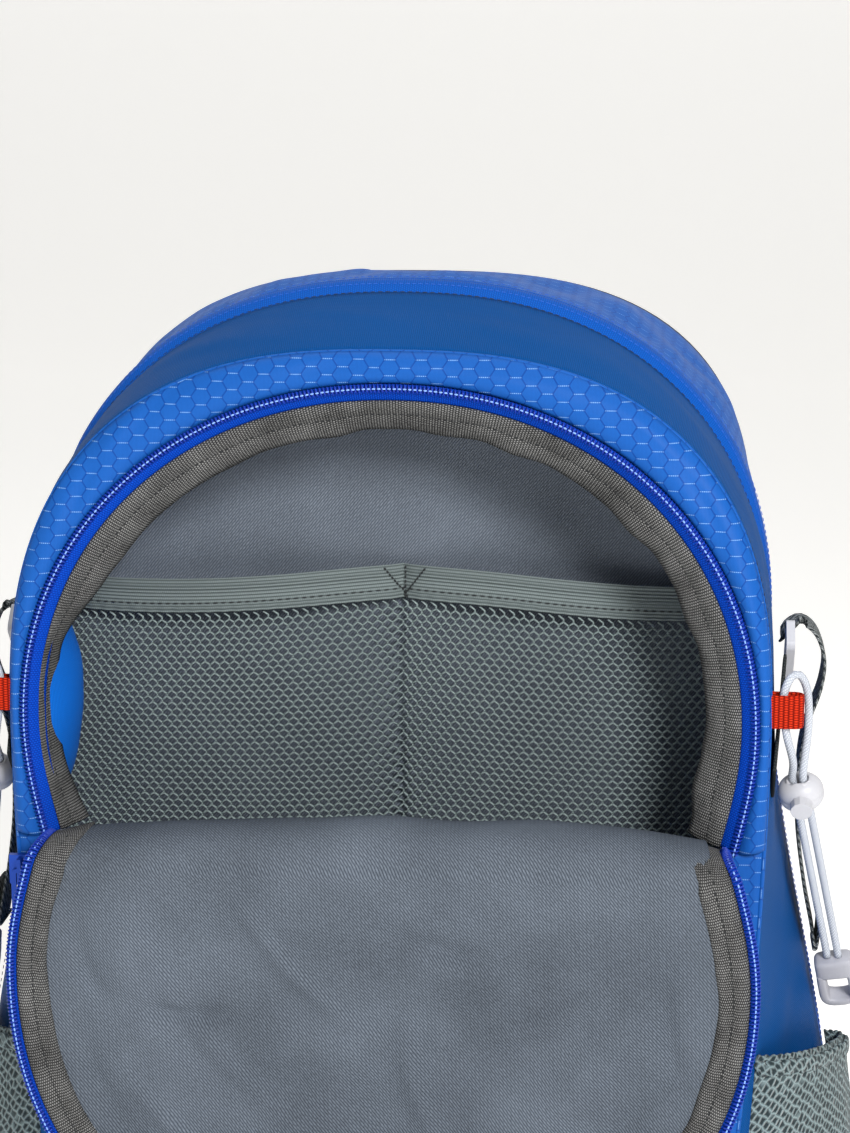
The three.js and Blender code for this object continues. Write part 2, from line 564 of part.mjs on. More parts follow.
function flapRibbon(from, to, depth, thickness) {
  const [near, far] = [inset(flapEdge, from), inset(flapEdge, to)];
  return skin(
    near.map(([x, z], i) => {
      const [u, w] = far[i];
      return [
        opened(x, frontY(x, z) + depth, z),
        opened(u, frontY(u, w) + depth, w),
        opened(u, frontY(u, w) + depth + thickness, w),
        opened(x, frontY(x, z) + depth + thickness, z),
      ];
    }),
  );
}
add(flap, "flap_zip", flapRibbon(0, 3.4, -2.2, 1.3), zipBlue);
add(flap, "flap_binding", flapRibbon(3.9, 14, -2.2, 1.3), binding);

// ---------- zip sliders ----------

// A slider lies on the zip, and its puller's crossbar turns under the bail that arches over the slider.
const PIVOT = 2.4; // from the slider's centre out to the crossbar
function zipSlider(group, name, place, outward, up) {
  const post = (z) => block(1.6, 2.4, 1.4, [0, -2.4, z]);
  const bail = join(post(4.3), post(-4.3), block(1.6, 1, 10, [0, -4, 0]));
  const slider = add(group, `${name}_slider`, join(block(9, 2.6, 12), bail), zincPaint, place);
  const [out, along] = [new THREE.Vector3(...outward), new THREE.Vector3(...up)];
  aim(slider, up, along.cross(out).toArray());
  const plain = roundedPlate(7, 30, 2.5, 1.2, [[3, 9, [0, 9.2]]]);
  const puller = add(group, `${name}_pull`, plain.rotateX(Math.PI / 2).translate(0, 0.6, -14.3), zincPaint);
  puller.quaternion.copy(slider.quaternion);
  puller.position.copy(out.multiplyScalar(PIVOT)).add(slider.position);
}
zipSlider(rearHalf, "main_zip", [-182.8, ZIP_Y, 97], [-1, 0, 0], [0, 0, 1]);
zipSlider(frontHalf, "front_zip", [-146.6, -95.2, 243], [0, -1, 0], [0, 0, 1]);

export default pack;
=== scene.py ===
"""Fabric, zips, mesh, webbing and fittings of a hiking daypack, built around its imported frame.

Lengths are millimetres until they reach a mesh. X runs to the right of a viewer who faces the front,
Y runs to the back and Z up. Grids of points are rows x columns x (x, y, z).
"""

import math

import bmesh
import bpy
import numpy as np
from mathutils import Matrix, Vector


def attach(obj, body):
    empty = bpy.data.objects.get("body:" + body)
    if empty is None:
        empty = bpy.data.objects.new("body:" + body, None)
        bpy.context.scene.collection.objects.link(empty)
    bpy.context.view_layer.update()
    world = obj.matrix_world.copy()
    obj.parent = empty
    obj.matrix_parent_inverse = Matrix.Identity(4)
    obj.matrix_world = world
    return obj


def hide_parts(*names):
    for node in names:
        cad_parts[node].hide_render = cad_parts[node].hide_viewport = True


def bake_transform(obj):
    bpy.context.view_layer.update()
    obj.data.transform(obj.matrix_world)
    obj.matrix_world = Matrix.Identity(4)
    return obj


bl_info = {
    "name": "Hiking Daypack",
    "version": (1, 0, 0),
    "blender": (4, 5, 0),
    "location": "View3D > Sidebar > Daypack",
    "description": "Builds the soft goods and fittings of a hiking daypack",
    "category": "Add Mesh",
}

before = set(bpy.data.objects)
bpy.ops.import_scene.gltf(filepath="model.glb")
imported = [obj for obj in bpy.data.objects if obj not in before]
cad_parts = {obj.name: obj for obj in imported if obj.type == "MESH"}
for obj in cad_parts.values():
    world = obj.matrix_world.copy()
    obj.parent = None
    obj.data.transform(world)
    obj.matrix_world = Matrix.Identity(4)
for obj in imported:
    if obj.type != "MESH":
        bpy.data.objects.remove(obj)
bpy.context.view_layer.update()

MM = 0.001
SIDES = (("left", -1), ("right", 1))

# ---------- driving dimensions, the same as the frame's ----------

FRONT_Y = -92.0
BACK_Y = 83.0
CROWN = 5.0
LEAN = 26.0
LEAN_Z = 300.0
FOLD_Z = 258.0
FLAP_AXIS_Y = -108.0
ZIP_Y = -8.0

# Outlines: foot x and z, spring line x and z, crown z, power of the superellipse, belly
FRONT_OUTLINE = (134, 62.5, 149, 308, 449, 2.15, 0)
FACE_OUTLINE = (134, 62.5, 149.5, 308, 450, 2.6, 0)
OPENING_OUTLINE = (137, 257, 144.5, 305, 437, 2.1, 0)
ZIP_OUTLINE = (166, 62.5, 150, 320, 466, 2.3, 20)
REAR_ZIP_OUTLINE = (166, 60.5, 150, 320, 466, 2.3, 20)
BACK_OUTLINE = (154, 60.5, 146, 330, 462, 2.8, 0)
BACK_PLATE = (146, 6, 146, 330, 461, 2.8, 0)
DIVIDER_OUTLINE = (162, 62.5, 146, 320, 461, 2.3, 20)
FLAP_OUTLINE = (138, 262, 145.8, 307, 438, 2.15, 0)


# ---------- shapes worked out with arrays ----------


def resampled(path, count):
    """A path's points respaced: equal steps of arc length from its first point to its last."""
    steps = np.linalg.norm(np.diff(path, axis=0), axis=1)
    at = np.concatenate([[0], np.cumsum(steps)])
    wanted = np.linspace(0, at[-1], count)
    return np.stack([np.interp(wanted, at, path[:, k]) for k in range(path.shape[1])], axis=1)


def half_width(outline, z):
    """Half the outline's width at a height below its spring line, where t is the share of that height.

    foot + (spring - foot) * sin(t * pi / 2) + belly * sin(pi * sqrt(t)) ** 1.5
    """
    foot, foot_z, spring, spring_z, _, _, belly = outline
    t = np.clip((z - foot_z) / (spring_z - foot_z), 0, 1)
    swell = belly * np.maximum(0, np.sin(np.pi * np.sqrt(t))) ** 1.5
    return foot + (spring - foot) * np.sin(t * np.pi / 2) + swell


def arch(outline, count):
    """An outline as (x, z) points from the left foot over the crown to the right foot.

    Above the spring line x is spring * cos(a) ** (2 / p) and z climbs to the crown as sin(a) ** (2 / p).
    """
    _, foot_z, spring, spring_z, crown_z, power, _ = outline
    z = np.linspace(foot_z, spring_z, 80)
    side = np.stack([half_width(outline, z), z], 1)
    a = np.linspace(0, np.pi / 2, 400)[1:]
    x = spring * np.maximum(np.cos(a), 0) ** (2 / power)
    z = spring_z + (crown_z - spring_z) * np.sin(a) ** (2 / power)
    right = np.concatenate([side, np.stack([x, z], 1)])
    left = right * [-1, 1]
    return resampled(np.concatenate([left, right[-2::-1]]), count)


def inset(outline, distance):
    """An outline moved inwards along its normals; the distance is one number or one for each point."""
    tangent = np.gradient(outline, axis=0)
    tangent /= np.linalg.norm(tangent, axis=1, keepdims=True)
    normal = np.stack([tangent[:, 1], -tangent[:, 0]], axis=1)
    return outline + normal * np.reshape(distance, (-1, 1))


def front_y(x, z):
    """The front panel's y: a parabola across, leaning back above LEAN_Z by a power of the height."""
    rise = np.maximum(0, (z - LEAN_Z) / 150)
    return FRONT_Y - CROWN * (1 - (x / 150) ** 2) + LEAN * rise**1.8


def noise(u, v, seed):
    """Smooth value noise in -1..1: random lattice values joined by smoothstep in both directions."""
    values = np.random.default_rng(seed).uniform(-1, 1, (64, 64))
    i, j = np.floor(u).astype(int), np.floor(v).astype(int)
    fu, fv = u - i, v - j
    fu, fv = fu * fu * (3 - 2 * fu), fv * fv * (3 - 2 * fv)
    at = lambda a, b: values[(i + a) % 64, (j + b) % 64]
    low = at(0, 0) * (1 - fu) + at(1, 0) * fu
    high = at(0, 1) * (1 - fu) + at(1, 1) * fu
    return low * (1 - fv) + high * fv


def creases(u, v, folds):
    """Height of soft folds: each is a Gaussian ridge along a line, fading out towards its ends.

    A fold is its centre u and v, its direction in degrees, half length, half width and height.
    """
    height = np.zeros(np.broadcast(u, v).shape)
    for cu, cv, turn, length, width, rise in folds:
        c, s = math.cos(math.radians(turn)), math.sin(math.radians(turn))
        along = (u - cu) * c + (v - cv) * s
        across = (v - cv) * c - (u - cu) * s + 0.15 * length * (along / length) ** 2
        height += rise * np.exp(-((along / length) ** 2) - (across / width) ** 2)
    return height


def blend_rows(near, far, count):
    """Rows of points that go straight from one curve to another; returns the rows and their fractions."""
    t = np.linspace(0, 1, count)[:, None, None]
    return near[None] * (1 - t) + far[None] * t, t[..., 0]


def lifted(xz, y):
    """Points in space from (x, z) pairs and their y."""
    return np.stack([xz[..., 0], np.broadcast_to(y, xz.shape[:-1]), xz[..., 1]], axis=-1)


def unit(vectors):
    return vectors / np.maximum(np.linalg.norm(vectors, axis=-1, keepdims=True), 1e-9)


def frames_along(path, across):
    """Tangent, across and normal unit vectors along a path; across is made square to the tangent."""
    tangent = unit(np.gradient(path, axis=0))
    side = np.broadcast_to(np.asarray(across, float), path.shape)
    side = unit(side - tangent * np.sum(side * tangent, axis=1, keepdims=True))
    return tangent, side, np.cross(tangent, side)


def smooth_path(points, count):
    """A Catmull-Rom curve through given points, resampled to equal steps."""
    p = np.asarray(points, float)
    p = np.concatenate([[2 * p[0] - p[1]], p, [2 * p[-1] - p[-2]]])
    t = np.linspace(0, 1, 24, endpoint=False)[:, None]
    parts = []
    for a, b, c, d in zip(p[:-3], p[1:-2], p[2:-1], p[3:]):
        cubic = (3 * b - 3 * c + d - a) * t**3 + (2 * a - 5 * b + 4 * c - d) * t**2 + (c - a) * t
        parts.append(b + 0.5 * cubic)
    parts.append(p[-2:-1])
    return resampled(np.concatenate(parts), count)


def section_box(width, thickness, sides=20, power=5.0):
    """A strap's cross-section: a superellipse, |2x/width|^p + |2y/thickness|^p = 1."""
    a = np.linspace(0, 2 * np.pi, sides, endpoint=False)
    c, s = np.cos(a), np.sin(a)
    x = np.sign(c) * np.abs(c) ** (2 / power) * width / 2
    y = np.sign(s) * np.abs(s) ** (2 / power) * thickness / 2
    return np.stack([x, y], axis=1)


def swept(path, across, section):
    """Rings of a section carried along a path: its x lies across and its y along the normal."""
    _, side, normal = frames_along(path, across)
    section = np.broadcast_to(section, (len(path),) + np.shape(section)[-2:])
    return path[:, None] + side[:, None] * section[..., :1] + normal[:, None] * section[..., 1:]


# ---------- meshes ----------


def piece_from(name, points, faces, uv=None):
    """A mesh object from an array of points in mm, faces, and one UV pair for each point."""
    mesh = bpy.data.meshes.new(name)
    mesh.from_pydata((np.asarray(points, float) * MM).tolist(), [], faces)
    if uv is not None:
        loops = np.empty(len(mesh.loops), np.int32)
        mesh.loops.foreach_get("vertex_index", loops)
        layer = mesh.uv_layers.new(name="UVMap")
        layer.data.foreach_set("uv", np.asarray(uv, float)[loops].ravel())
    mesh.shade_smooth()
    piece = bpy.data.objects.new(name, mesh)
    bpy.context.scene.collection.objects.link(piece)
    return piece


def grid_faces(rows, columns):
    index = np.arange(rows * columns).reshape(rows, columns)
    quads = np.stack([index[:-1, :-1], index[:-1, 1:], index[1:, 1:], index[1:, :-1]], axis=-1)
    return quads.reshape(-1, 4).tolist()


def flat_uv(grid):
    """UV in metres: mean arc length along the columns and along the rows of a grid."""
    along = np.linalg.norm(np.diff(grid, axis=1), axis=2).mean(axis=0)
    down = np.linalg.norm(np.diff(grid, axis=0), axis=2).mean(axis=1)
    u = np.concatenate([[0], np.cumsum(along)]) * MM
    v = np.concatenate([[0], np.cumsum(down)]) * MM
    return np.stack(np.meshgrid(u, v), axis=-1).reshape(-1, 2)


def joined_up(piece):
    """Merges the points that meet at seams and poles, and fills a loft's open ends."""
    work = bmesh.new()
    work.from_mesh(piece.data)
    bmesh.ops.remove_doubles(work, verts=work.verts, dist=1e-6)
    open_edges = [e for e in work.edges if e.is_boundary]
    bmesh.ops.holes_fill(work, edges=open_edges, sides=0)
    bmesh.ops.recalc_face_normals(work, faces=work.faces)
    work.to_mesh(piece.data)
    work.free()
    piece.data.shade_smooth()
    return piece


def sheet(name, grid, material, thickness=0.8, uv=None, inner=None):
    """A cloth sheet through a grid, thickened behind its face, which may have another finish inside."""
    rows, columns = grid.shape[:2]
    uv = flat_uv(grid) if uv is None else np.reshape(uv, (-1, 2))
    piece = piece_from(name, grid.reshape(-1, 3), grid_faces(rows, columns), uv)
    work = bmesh.new()
    work.from_mesh(piece.data)
    bmesh.ops.remove_doubles(work, verts=work.verts, dist=1e-6)
    work.to_mesh(piece.data)
    work.free()
    piece.data.shade_smooth()
    solid = piece.modifiers.new("thickness", "SOLIDIFY")
    solid.thickness = thickness * MM
    solid.offset = -1
    piece.data.materials.append(material)
    if inner:
        piece.data.materials.append(inner)
        solid.material_offset = 1
    return piece


def loft(name, rings, material):
    """A closed skin over rings of points, with its ends filled."""
    closed = np.concatenate([rings, rings[:, :1]], axis=1)
    uv = flat_uv(closed)[:, ::-1]
    piece = piece_from(name, closed.reshape(-1, 3), grid_faces(*closed.shape[:2]), uv)
    piece.data.materials.append(material)
    return joined_up(piece)


def scattered(name, points, faces, places, axes, material, uv=None):
    """Copies of a small solid: each copy's points are turned by its 3x3 axes and moved to its place."""
    count, size = len(places), len(points)
    spread = np.einsum("pk,nkd->npd", np.asarray(points, float), axes) + np.asarray(places)[:, None]
    shift = (np.arange(count) * size)[:, None, None]
    every = (np.asarray(faces)[None] + shift).reshape(-1, np.shape(faces)[1]).tolist()
    uv = None if uv is None else np.tile(uv, (count, 1))
    piece = piece_from(name, spread.reshape(-1, 3), every, uv)
    piece.data.materials.append(material)
    return piece


def bead(length, width, height):
    """A small rounded capsule along x: three rings of six points and two end points, as triangles."""
    a = np.arange(6) * np.pi / 3
    ring = np.stack([np.zeros(6), np.cos(a) * width / 2, np.sin(a) * height / 2], axis=1)
    middle = [ring * [1, k, k] + [x * length, 0, 0] for x, k in ((-0.36, 0.75), (0, 1), (0.36, 0.75))]
    points = np.concatenate([[[-length / 2, 0, 0]], *middle, [[length / 2, 0, 0]]])
    faces = []
    for i in range(6):
        j = (i + 1) % 6
        faces += [(0, 1 + j, 1 + i), (19, 13 + i, 13 + j)]
        for r in (1, 7):
            faces += [(r + i, r + j, r + 6 + j), (r + i, r + 6 + j, r + 6 + i)]
    return points, faces


def stitches(name, path, normals, material, pitch=2.6, length=1.9, width=0.55):
    """A row of thread stitches laid along a path, each a capsule in line with it."""
    total = np.linalg.norm(np.diff(path, axis=0), axis=1).sum()
    count = max(2, int(total / pitch))
    at = np.linspace(0, len(path) - 1, count)
    places = np.stack([np.interp(at, np.arange(len(path)), path[:, k]) for k in range(3)], 1)
    up = np.stack([np.interp(at, np.arange(len(path)), normals[:, k]) for k in range(3)], 1)
    tangent, side, normal = frames_along(places, np.cross(up, unit(np.gradient(places, axis=0))))
    axes = np.stack([tangent, side, normal], axis=1)
    points, faces = bead(length, width, width * 0.7)
    return scattered(name, points, faces, places, axes, material)


def coil(name, path, across, material, pitch=1.5, width=3.2, height=1.7, wire=0.36):
    """A nylon zip coil: a flattened helix along a path, and its wire a tube of six sides."""
    total = np.linalg.norm(np.diff(path, axis=0), axis=1).sum()
    count = int(total / pitch * 10)
    centre = resampled(path, count)
    at = np.linspace(0, len(path) - 1, count)
    lay = np.stack([np.interp(at, np.arange(len(path)), across[:, k]) for k in range(3)], 1)
    _, side, normal = frames_along(centre, lay)
    turn = np.arange(count)[:, None] * 2 * np.pi / 10
    helix = centre + side * np.cos(turn) * width / 2 + normal * np.sin(turn) * height / 2
    tangent = unit(np.gradient(helix, axis=0))
    out = unit(side * np.cos(turn) / width + normal * np.sin(turn) / height)
    other = np.cross(tangent, out)
    a = np.linspace(0, 2 * np.pi, 6, endpoint=False)
    rings = helix[:, None] + wire * (out[:, None] * np.cos(a)[:, None] + other[:, None] * np.sin(a)[:, None])
    return loft(name, rings, material)


def done(piece, body, slot, *nodes):
    """Puts a finished piece on its body and hides the frame's nodes that it stands for."""
    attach(piece, body)
    if nodes:
        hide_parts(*nodes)
    return piece


def swell(piece, pressure=4.0, voxel=5.0, cap=7.0, frames=20):
    """Inflates a pad: remeshed evenly, blown up by cloth pressure, and no point moved further than the cap."""
    remesh = piece.modifiers.new("remesh", "REMESH")
    remesh.mode = "VOXEL"
    remesh.voxel_size = voxel * MM
    bpy.context.view_layer.objects.active = piece
    bpy.ops.object.modifier_apply(modifier=remesh.name)
    rest = np.empty(len(piece.data.vertices) * 3)
    piece.data.vertices.foreach_get("co", rest)
    cloth = piece.modifiers.new("cloth", "CLOTH")
    cloth.settings.use_pressure = True
    cloth.settings.uniform_pressure_force = pressure
    cloth.settings.effector_weights.gravity = 0
    cloth.settings.quality = 5
    scene = bpy.context.scene
    for step in range(1, frames + 1):
        scene.frame_set(step)
    bpy.ops.object.modifier_apply(modifier=cloth.name)
    scene.frame_set(1)
    moved = np.empty_like(rest)
    piece.data.vertices.foreach_get("co", moved)
    shift = (moved - rest).reshape(-1, 3)
    reach = np.linalg.norm(shift, axis=1, keepdims=True)
    shift *= np.minimum(1, cap * MM / np.maximum(reach, 1e-9))
    piece.data.vertices.foreach_set("co", (rest.reshape(-1, 3) + shift).ravel())
    piece.data.update()
    finer = piece.modifiers.new("finer", "SUBSURF")
    finer.levels = 1
    finer.render_levels = 1
    piece.data.shade_smooth()
    return piece


# ---------- shader nodes ----------


def put(tree, kind, inputs=(), **settings):
    """A shader node with its settings, and its inputs by name or number: a socket is linked, a value is set."""
    made = tree.nodes.new("ShaderNode" + kind)
    for key, value in settings.items():
        setattr(made, key, value)
    for key, value in dict(inputs).items():
        if isinstance(value, bpy.types.NodeSocket):
            tree.links.new(value, made.inputs[key])
        else:
            made.inputs[key].default_value = value
    return made


def math_node(tree, operation, *values):
    return put(tree, "Math", enumerate(values), operation=operation).outputs[0]


def mixed(tree, factor, a, b):
    made = put(tree, "Mix", {0: factor, 6: a, 7: b}, data_type="RGBA")
    return made.outputs[2]


def group_of(name, inputs, outputs):
    """An empty node group with named sockets; returns its tree and the output socket of each input."""
    tree = bpy.data.node_groups.new(name, "ShaderNodeTree")
    kinds = {"V": "NodeSocketVector", "F": "NodeSocketFloat", "C": "NodeSocketColor"}
    for label, kind, value in inputs:
        socket = tree.interface.new_socket(label, in_out="INPUT", socket_type=kinds[kind])
        if value is not None:
            socket.default_value = value
    for label, kind in outputs:
        tree.interface.new_socket(label, in_out="OUTPUT", socket_type=kinds[kind])
    entry = tree.nodes.new("NodeGroupInput")
    return tree, {label: entry.outputs[label] for label, _, _ in inputs}


def close_group(tree, **sockets):
    leave = tree.nodes.new("NodeGroupOutput")
    for label, socket in sockets.items():
        tree.links.new(socket, leave.inputs[label])


def make_ribs_group():
    """Woven ribs: a rounded sine profile across u, broken by threads along v that shift at every other rib."""
    inputs = [("Vector", "V", None), ("Rib", "F", 0.001), ("Thread", "F", 0.0007), ("Break", "F", 0.5)]
    tree, given = group_of("Woven ribs", inputs, [("Height", "F"), ("Shade", "F")])
    xyz = put(tree, "SeparateXYZ", {0: given["Vector"]}).outputs
    rib = math_node(tree, "DIVIDE", xyz[0], given["Rib"])
    odd = math_node(tree, "MULTIPLY", math_node(tree, "FLOOR", rib), 0.5)
    thread = math_node(tree, "ADD", math_node(tree, "DIVIDE", xyz[1], given["Thread"]), odd)
    wave = [
        math_node(tree, "ABSOLUTE", math_node(tree, "SINE", math_node(tree, "MULTIPLY", value, math.pi)))
        for value in (rib, thread)
    ]
    ridge = math_node(tree, "POWER", wave[0], 0.6)
    notch = math_node(tree, "MULTIPLY", math_node(tree, "SUBTRACT", 1.0, wave[1]), given["Break"])
    height = math_node(tree, "MULTIPLY", ridge, math_node(tree, "SUBTRACT", 1.0, notch))
    close_group(tree, Height=height, Shade=math_node(tree, "POWER", height, 1.8))
    return tree


def make_tone_group():
    """Uneven tone: large soft patches and fine specks of noise vary a colour's brightness."""
    inputs = [("Vector", "V", None), ("Color", "C", (0.5, 0.5, 0.5, 1)), ("Amount", "F", 0.12), ("Patch", "F", 14.0)]
    tree, given = group_of("Uneven tone", inputs, [("Color", "C"), ("Mask", "F")])
    broad = put(tree, "TexNoise", {"Vector": given["Vector"], "Scale": given["Patch"], "Detail": 3.0}).outputs[0]
    specks = put(tree, "TexNoise", {"Vector": given["Vector"], "Scale": 900.0, "Detail": 1.0}).outputs[0]
    both = math_node(tree, "ADD", math_node(tree, "MULTIPLY", broad, 1.3), math_node(tree, "MULTIPLY", specks, 0.7))
    swing = math_node(tree, "MULTIPLY", math_node(tree, "SUBTRACT", both, 1.0), given["Amount"])
    bright = put(tree, "HueSaturation", {"Color": given["Color"], "Value": math_node(tree, "ADD", swing, 1.0)})
    close_group(tree, Color=bright.outputs[0], Mask=broad)
    return tree


def make_hex_group():
    """Hexagons: the nearer of two shifted rectangular lattices gives the cell, and the distance to its edge."""
    inputs = [("Vector", "V", None), ("Cell", "F", 0.0105)]
    outputs = [("Edge", "F"), ("Level edge", "F"), ("Corner", "F"), ("Height", "F")]
    tree, given = group_of("Hexagon ripstop", inputs, outputs)
    xyz = put(tree, "SeparateXYZ", {0: given["Vector"]}).outputs
    down = math_node(tree, "DIVIDE", xyz[1], given["Cell"])
    along = math_node(tree, "DIVIDE", xyz[0], given["Cell"])
    root = math.sqrt(3)
    cells = []
    for shift in (0.0, 0.5):
        a = math_node(tree, "SUBTRACT", math_node(tree, "FLOORED_MODULO", math_node(tree, "ADD", down, shift), 1.0), 0.5)
        moved = math_node(tree, "ADD", along, shift * root)
        b = math_node(tree, "SUBTRACT", math_node(tree, "FLOORED_MODULO", moved, root), root / 2)
        square = math_node(tree, "ADD", math_node(tree, "MULTIPLY", a, a), math_node(tree, "MULTIPLY", b, b))
        cells.append((a, b, square))
    nearer = math_node(tree, "LESS_THAN", cells[0][2], cells[1][2])
    picked = []
    for k in range(2):
        change = math_node(tree, "SUBTRACT", cells[0][k], cells[1][k])
        value = math_node(tree, "ADD", cells[1][k], math_node(tree, "MULTIPLY", change, nearer))
        picked.append(math_node(tree, "ABSOLUTE", value))
    slant = math_node(
        tree, "ADD", math_node(tree, "MULTIPLY", picked[0], 0.5), math_node(tree, "MULTIPLY", picked[1], root / 2)
    )
    line = lambda distance, width: put(
        tree, "MapRange", {0: distance, 1: 0.5 - width, 2: 0.5 - width * 0.35, 3: 0.0, 4: 1.0}, interpolation_type="SMOOTHSTEP"
    ).outputs[0]
    level = line(picked[0], 0.042)
    slanted = line(slant, 0.055)
    edge = math_node(tree, "MAXIMUM", level, slanted)
    corner = math_node(tree, "MULTIPLY", line(picked[0], 0.16), line(slant, 0.16))
    close_group(tree, **{"Edge": edge, "Level edge": level, "Corner": corner, "Height": math_node(tree, "MAXIMUM", edge, corner)})
    return tree


GROUPS = {}


def shared(tree, name, **inputs):
    made = tree.nodes.new("ShaderNodeGroup")
    made.node_tree = GROUPS[name]
    for key, value in inputs.items():
        if isinstance(value, bpy.types.NodeSocket):
            tree.links.new(value, made.inputs[key])
        else:
            made.inputs[key].default_value = value
    return made.outputs


def new_material(name, roughness, shine=0.06, **settings):
    """A material with its Principled shader; further settings go on the shader's own sockets."""
    material = bpy.data.materials.new(name)
    material.use_nodes = True
    shader = material.node_tree.nodes["Principled BSDF"]
    shader.inputs["Roughness"].default_value = roughness
    shader.inputs["Specular IOR Level"].default_value = shine
    for key, value in settings.items():
        shader.inputs[key.replace("_", " ")].default_value = value
    return material, material.node_tree, shader


def raised(tree, shader, height, depth):
    """Feeds a height to the shader's normal through a bump; depth is in metres."""
    bump = put(tree, "Bump", {"Height": height, "Distance": depth, "Strength": 1.0})
    tree.links.new(bump.outputs[0], shader.inputs["Normal"])


def uv_of(tree, turn=0.0):
    place = put(tree, "TexCoord").outputs["UV"]
    if not turn:
        return place
    return put(tree, "Mapping", {"Vector": place, "Rotation": (0, 0, math.radians(turn))}).outputs[0]


def rgba(color):
    return (*color, 1.0)


def woven(name, dark, light, rib, thread, depth, turn=0.0, broken=0.5, roughness=0.8, tone=0.14, patch=14.0, **settings):
    """Cloth of woven ribs: its grooves are dark and its ridges light, and its tone is uneven."""
    material, tree, shader = new_material(name, roughness, **settings)
    ribs = shared(tree, "ribs", Vector=uv_of(tree, turn), Rib=rib * MM, Thread=thread * MM, Break=broken)
    color = mixed(tree, ribs["Shade"], rgba(dark), rgba(light))
    place = put(tree, "TexCoord").outputs["Object"]
    varied = shared(tree, "tone", Vector=place, Color=color, Amount=tone, Patch=patch)
    tree.links.new(varied["Color"], shader.inputs["Base Color"])
    raised(tree, shader, ribs["Height"], depth * MM)
    return material


def hexagon_cloth(name, base, line, glint):
    """Ripstop: darker slanted threads, a painted highlight that glints along the level threads, and a small diamond
    where they meet.
    """
    material, tree, shader = new_material(name, 0.5, 0.1)
    place = uv_of(tree)
    wide = put(tree, "Mapping", {"Vector": place, "Scale": (0.85, 1.0, 1.0)}).outputs[0]
    hexes = shared(tree, "hexagons", Vector=wide, Cell=bpy.context.scene.daypack_sizes.hexagon)
    threads = shared(tree, "ribs", Vector=place, Rib=0.0005, Thread=0.0005, Break=0.6)
    dots = shared(tree, "ribs", Vector=place, Rib=0.0008, Thread=1.0, Break=0.0)
    ground = mixed(tree, threads["Shade"], rgba([c * 0.72 for c in base]), rgba(base))
    lined = mixed(tree, math_node(tree, "MULTIPLY", hexes["Edge"], 0.8), ground, rgba(line))
    # Painted highlight: the glint colour, broken into short dashes, lies along the level threads where light would
    # catch them.
    spark = math_node(tree, "MULTIPLY", hexes["Level edge"], dots["Shade"])
    glinting = mixed(tree, math_node(tree, "MULTIPLY", spark, 0.8), lined, rgba(glint))
    marked = mixed(tree, math_node(tree, "MULTIPLY", hexes["Corner"], 0.25), glinting, rgba(line))
    varied = shared(tree, "tone", Vector=put(tree, "TexCoord").outputs["Object"], Color=marked, Amount=0.12)
    tree.links.new(varied["Color"], shader.inputs["Base Color"])
    height = math_node(tree, "ADD", math_node(tree, "MULTIPLY", hexes["Height"], 1.0), math_node(tree, "MULTIPLY", threads["Height"], 0.35))
    raised(tree, shader, height, 0.00004)
    return material


def moulded(name, color, roughness=0.38, grain=0.00004, **settings):
    """Moulded plastic or painted metal: fine orange-peel grain, with slightly rubbed patches."""
    material, tree, shader = new_material(name, roughness, 0.4, **settings)
    place = put(tree, "TexCoord").outputs["Object"]
    peel = put(tree, "TexNoise", {"Vector": place, "Scale": 1400.0, "Detail": 2.0}).outputs[0]
    varied = shared(tree, "tone", Vector=place, Color=rgba(color), Amount=0.10)
    rough = put(tree, "MapRange", {0: varied["Mask"], 1: 0.3, 2: 0.7, 3: roughness - 0.08, 4: roughness + 0.12})
    tree.links.new(varied["Color"], shader.inputs["Base Color"])
    tree.links.new(rough.outputs[0], shader.inputs["Roughness"])
    raised(tree, shader, peel, grain)
    return material


def chevron_webbing(name, dark, light):
    """Patterned webbing: zigzag bands, since the rib coordinate is bent by the distance from the middle."""
    material, tree, shader = new_material(name, 0.8)
    xyz = put(tree, "SeparateXYZ", {0: uv_of(tree)}).outputs
    bend = math_node(tree, "ABSOLUTE", math_node(tree, "SUBTRACT", math_node(tree, "FLOORED_MODULO", xyz[1], 0.007), 0.0035))
    place = put(tree, "CombineXYZ", {0: math_node(tree, "ADD", xyz[0], math_node(tree, "MULTIPLY", bend, 1.2)), 1: xyz[1]})
    bands = shared(tree, "ribs", Vector=place.outputs[0], Rib=0.0034, Thread=1.0, Break=0.0)
    threads = shared(tree, "ribs", Vector=place.outputs[0], Rib=0.0011, Thread=0.0008, Break=0.5)
    picked = math_node(tree, "GREATER_THAN", bands["Height"], 0.72)
    color = mixed(tree, picked, rgba(dark), rgba(light))
    shaded = mixed(tree, threads["Shade"], rgba([c * 0.4 for c in dark]), color)
    tree.links.new(shaded, shader.inputs["Base Color"])
    raised(tree, shader, threads["Height"], 0.0003)
    return material


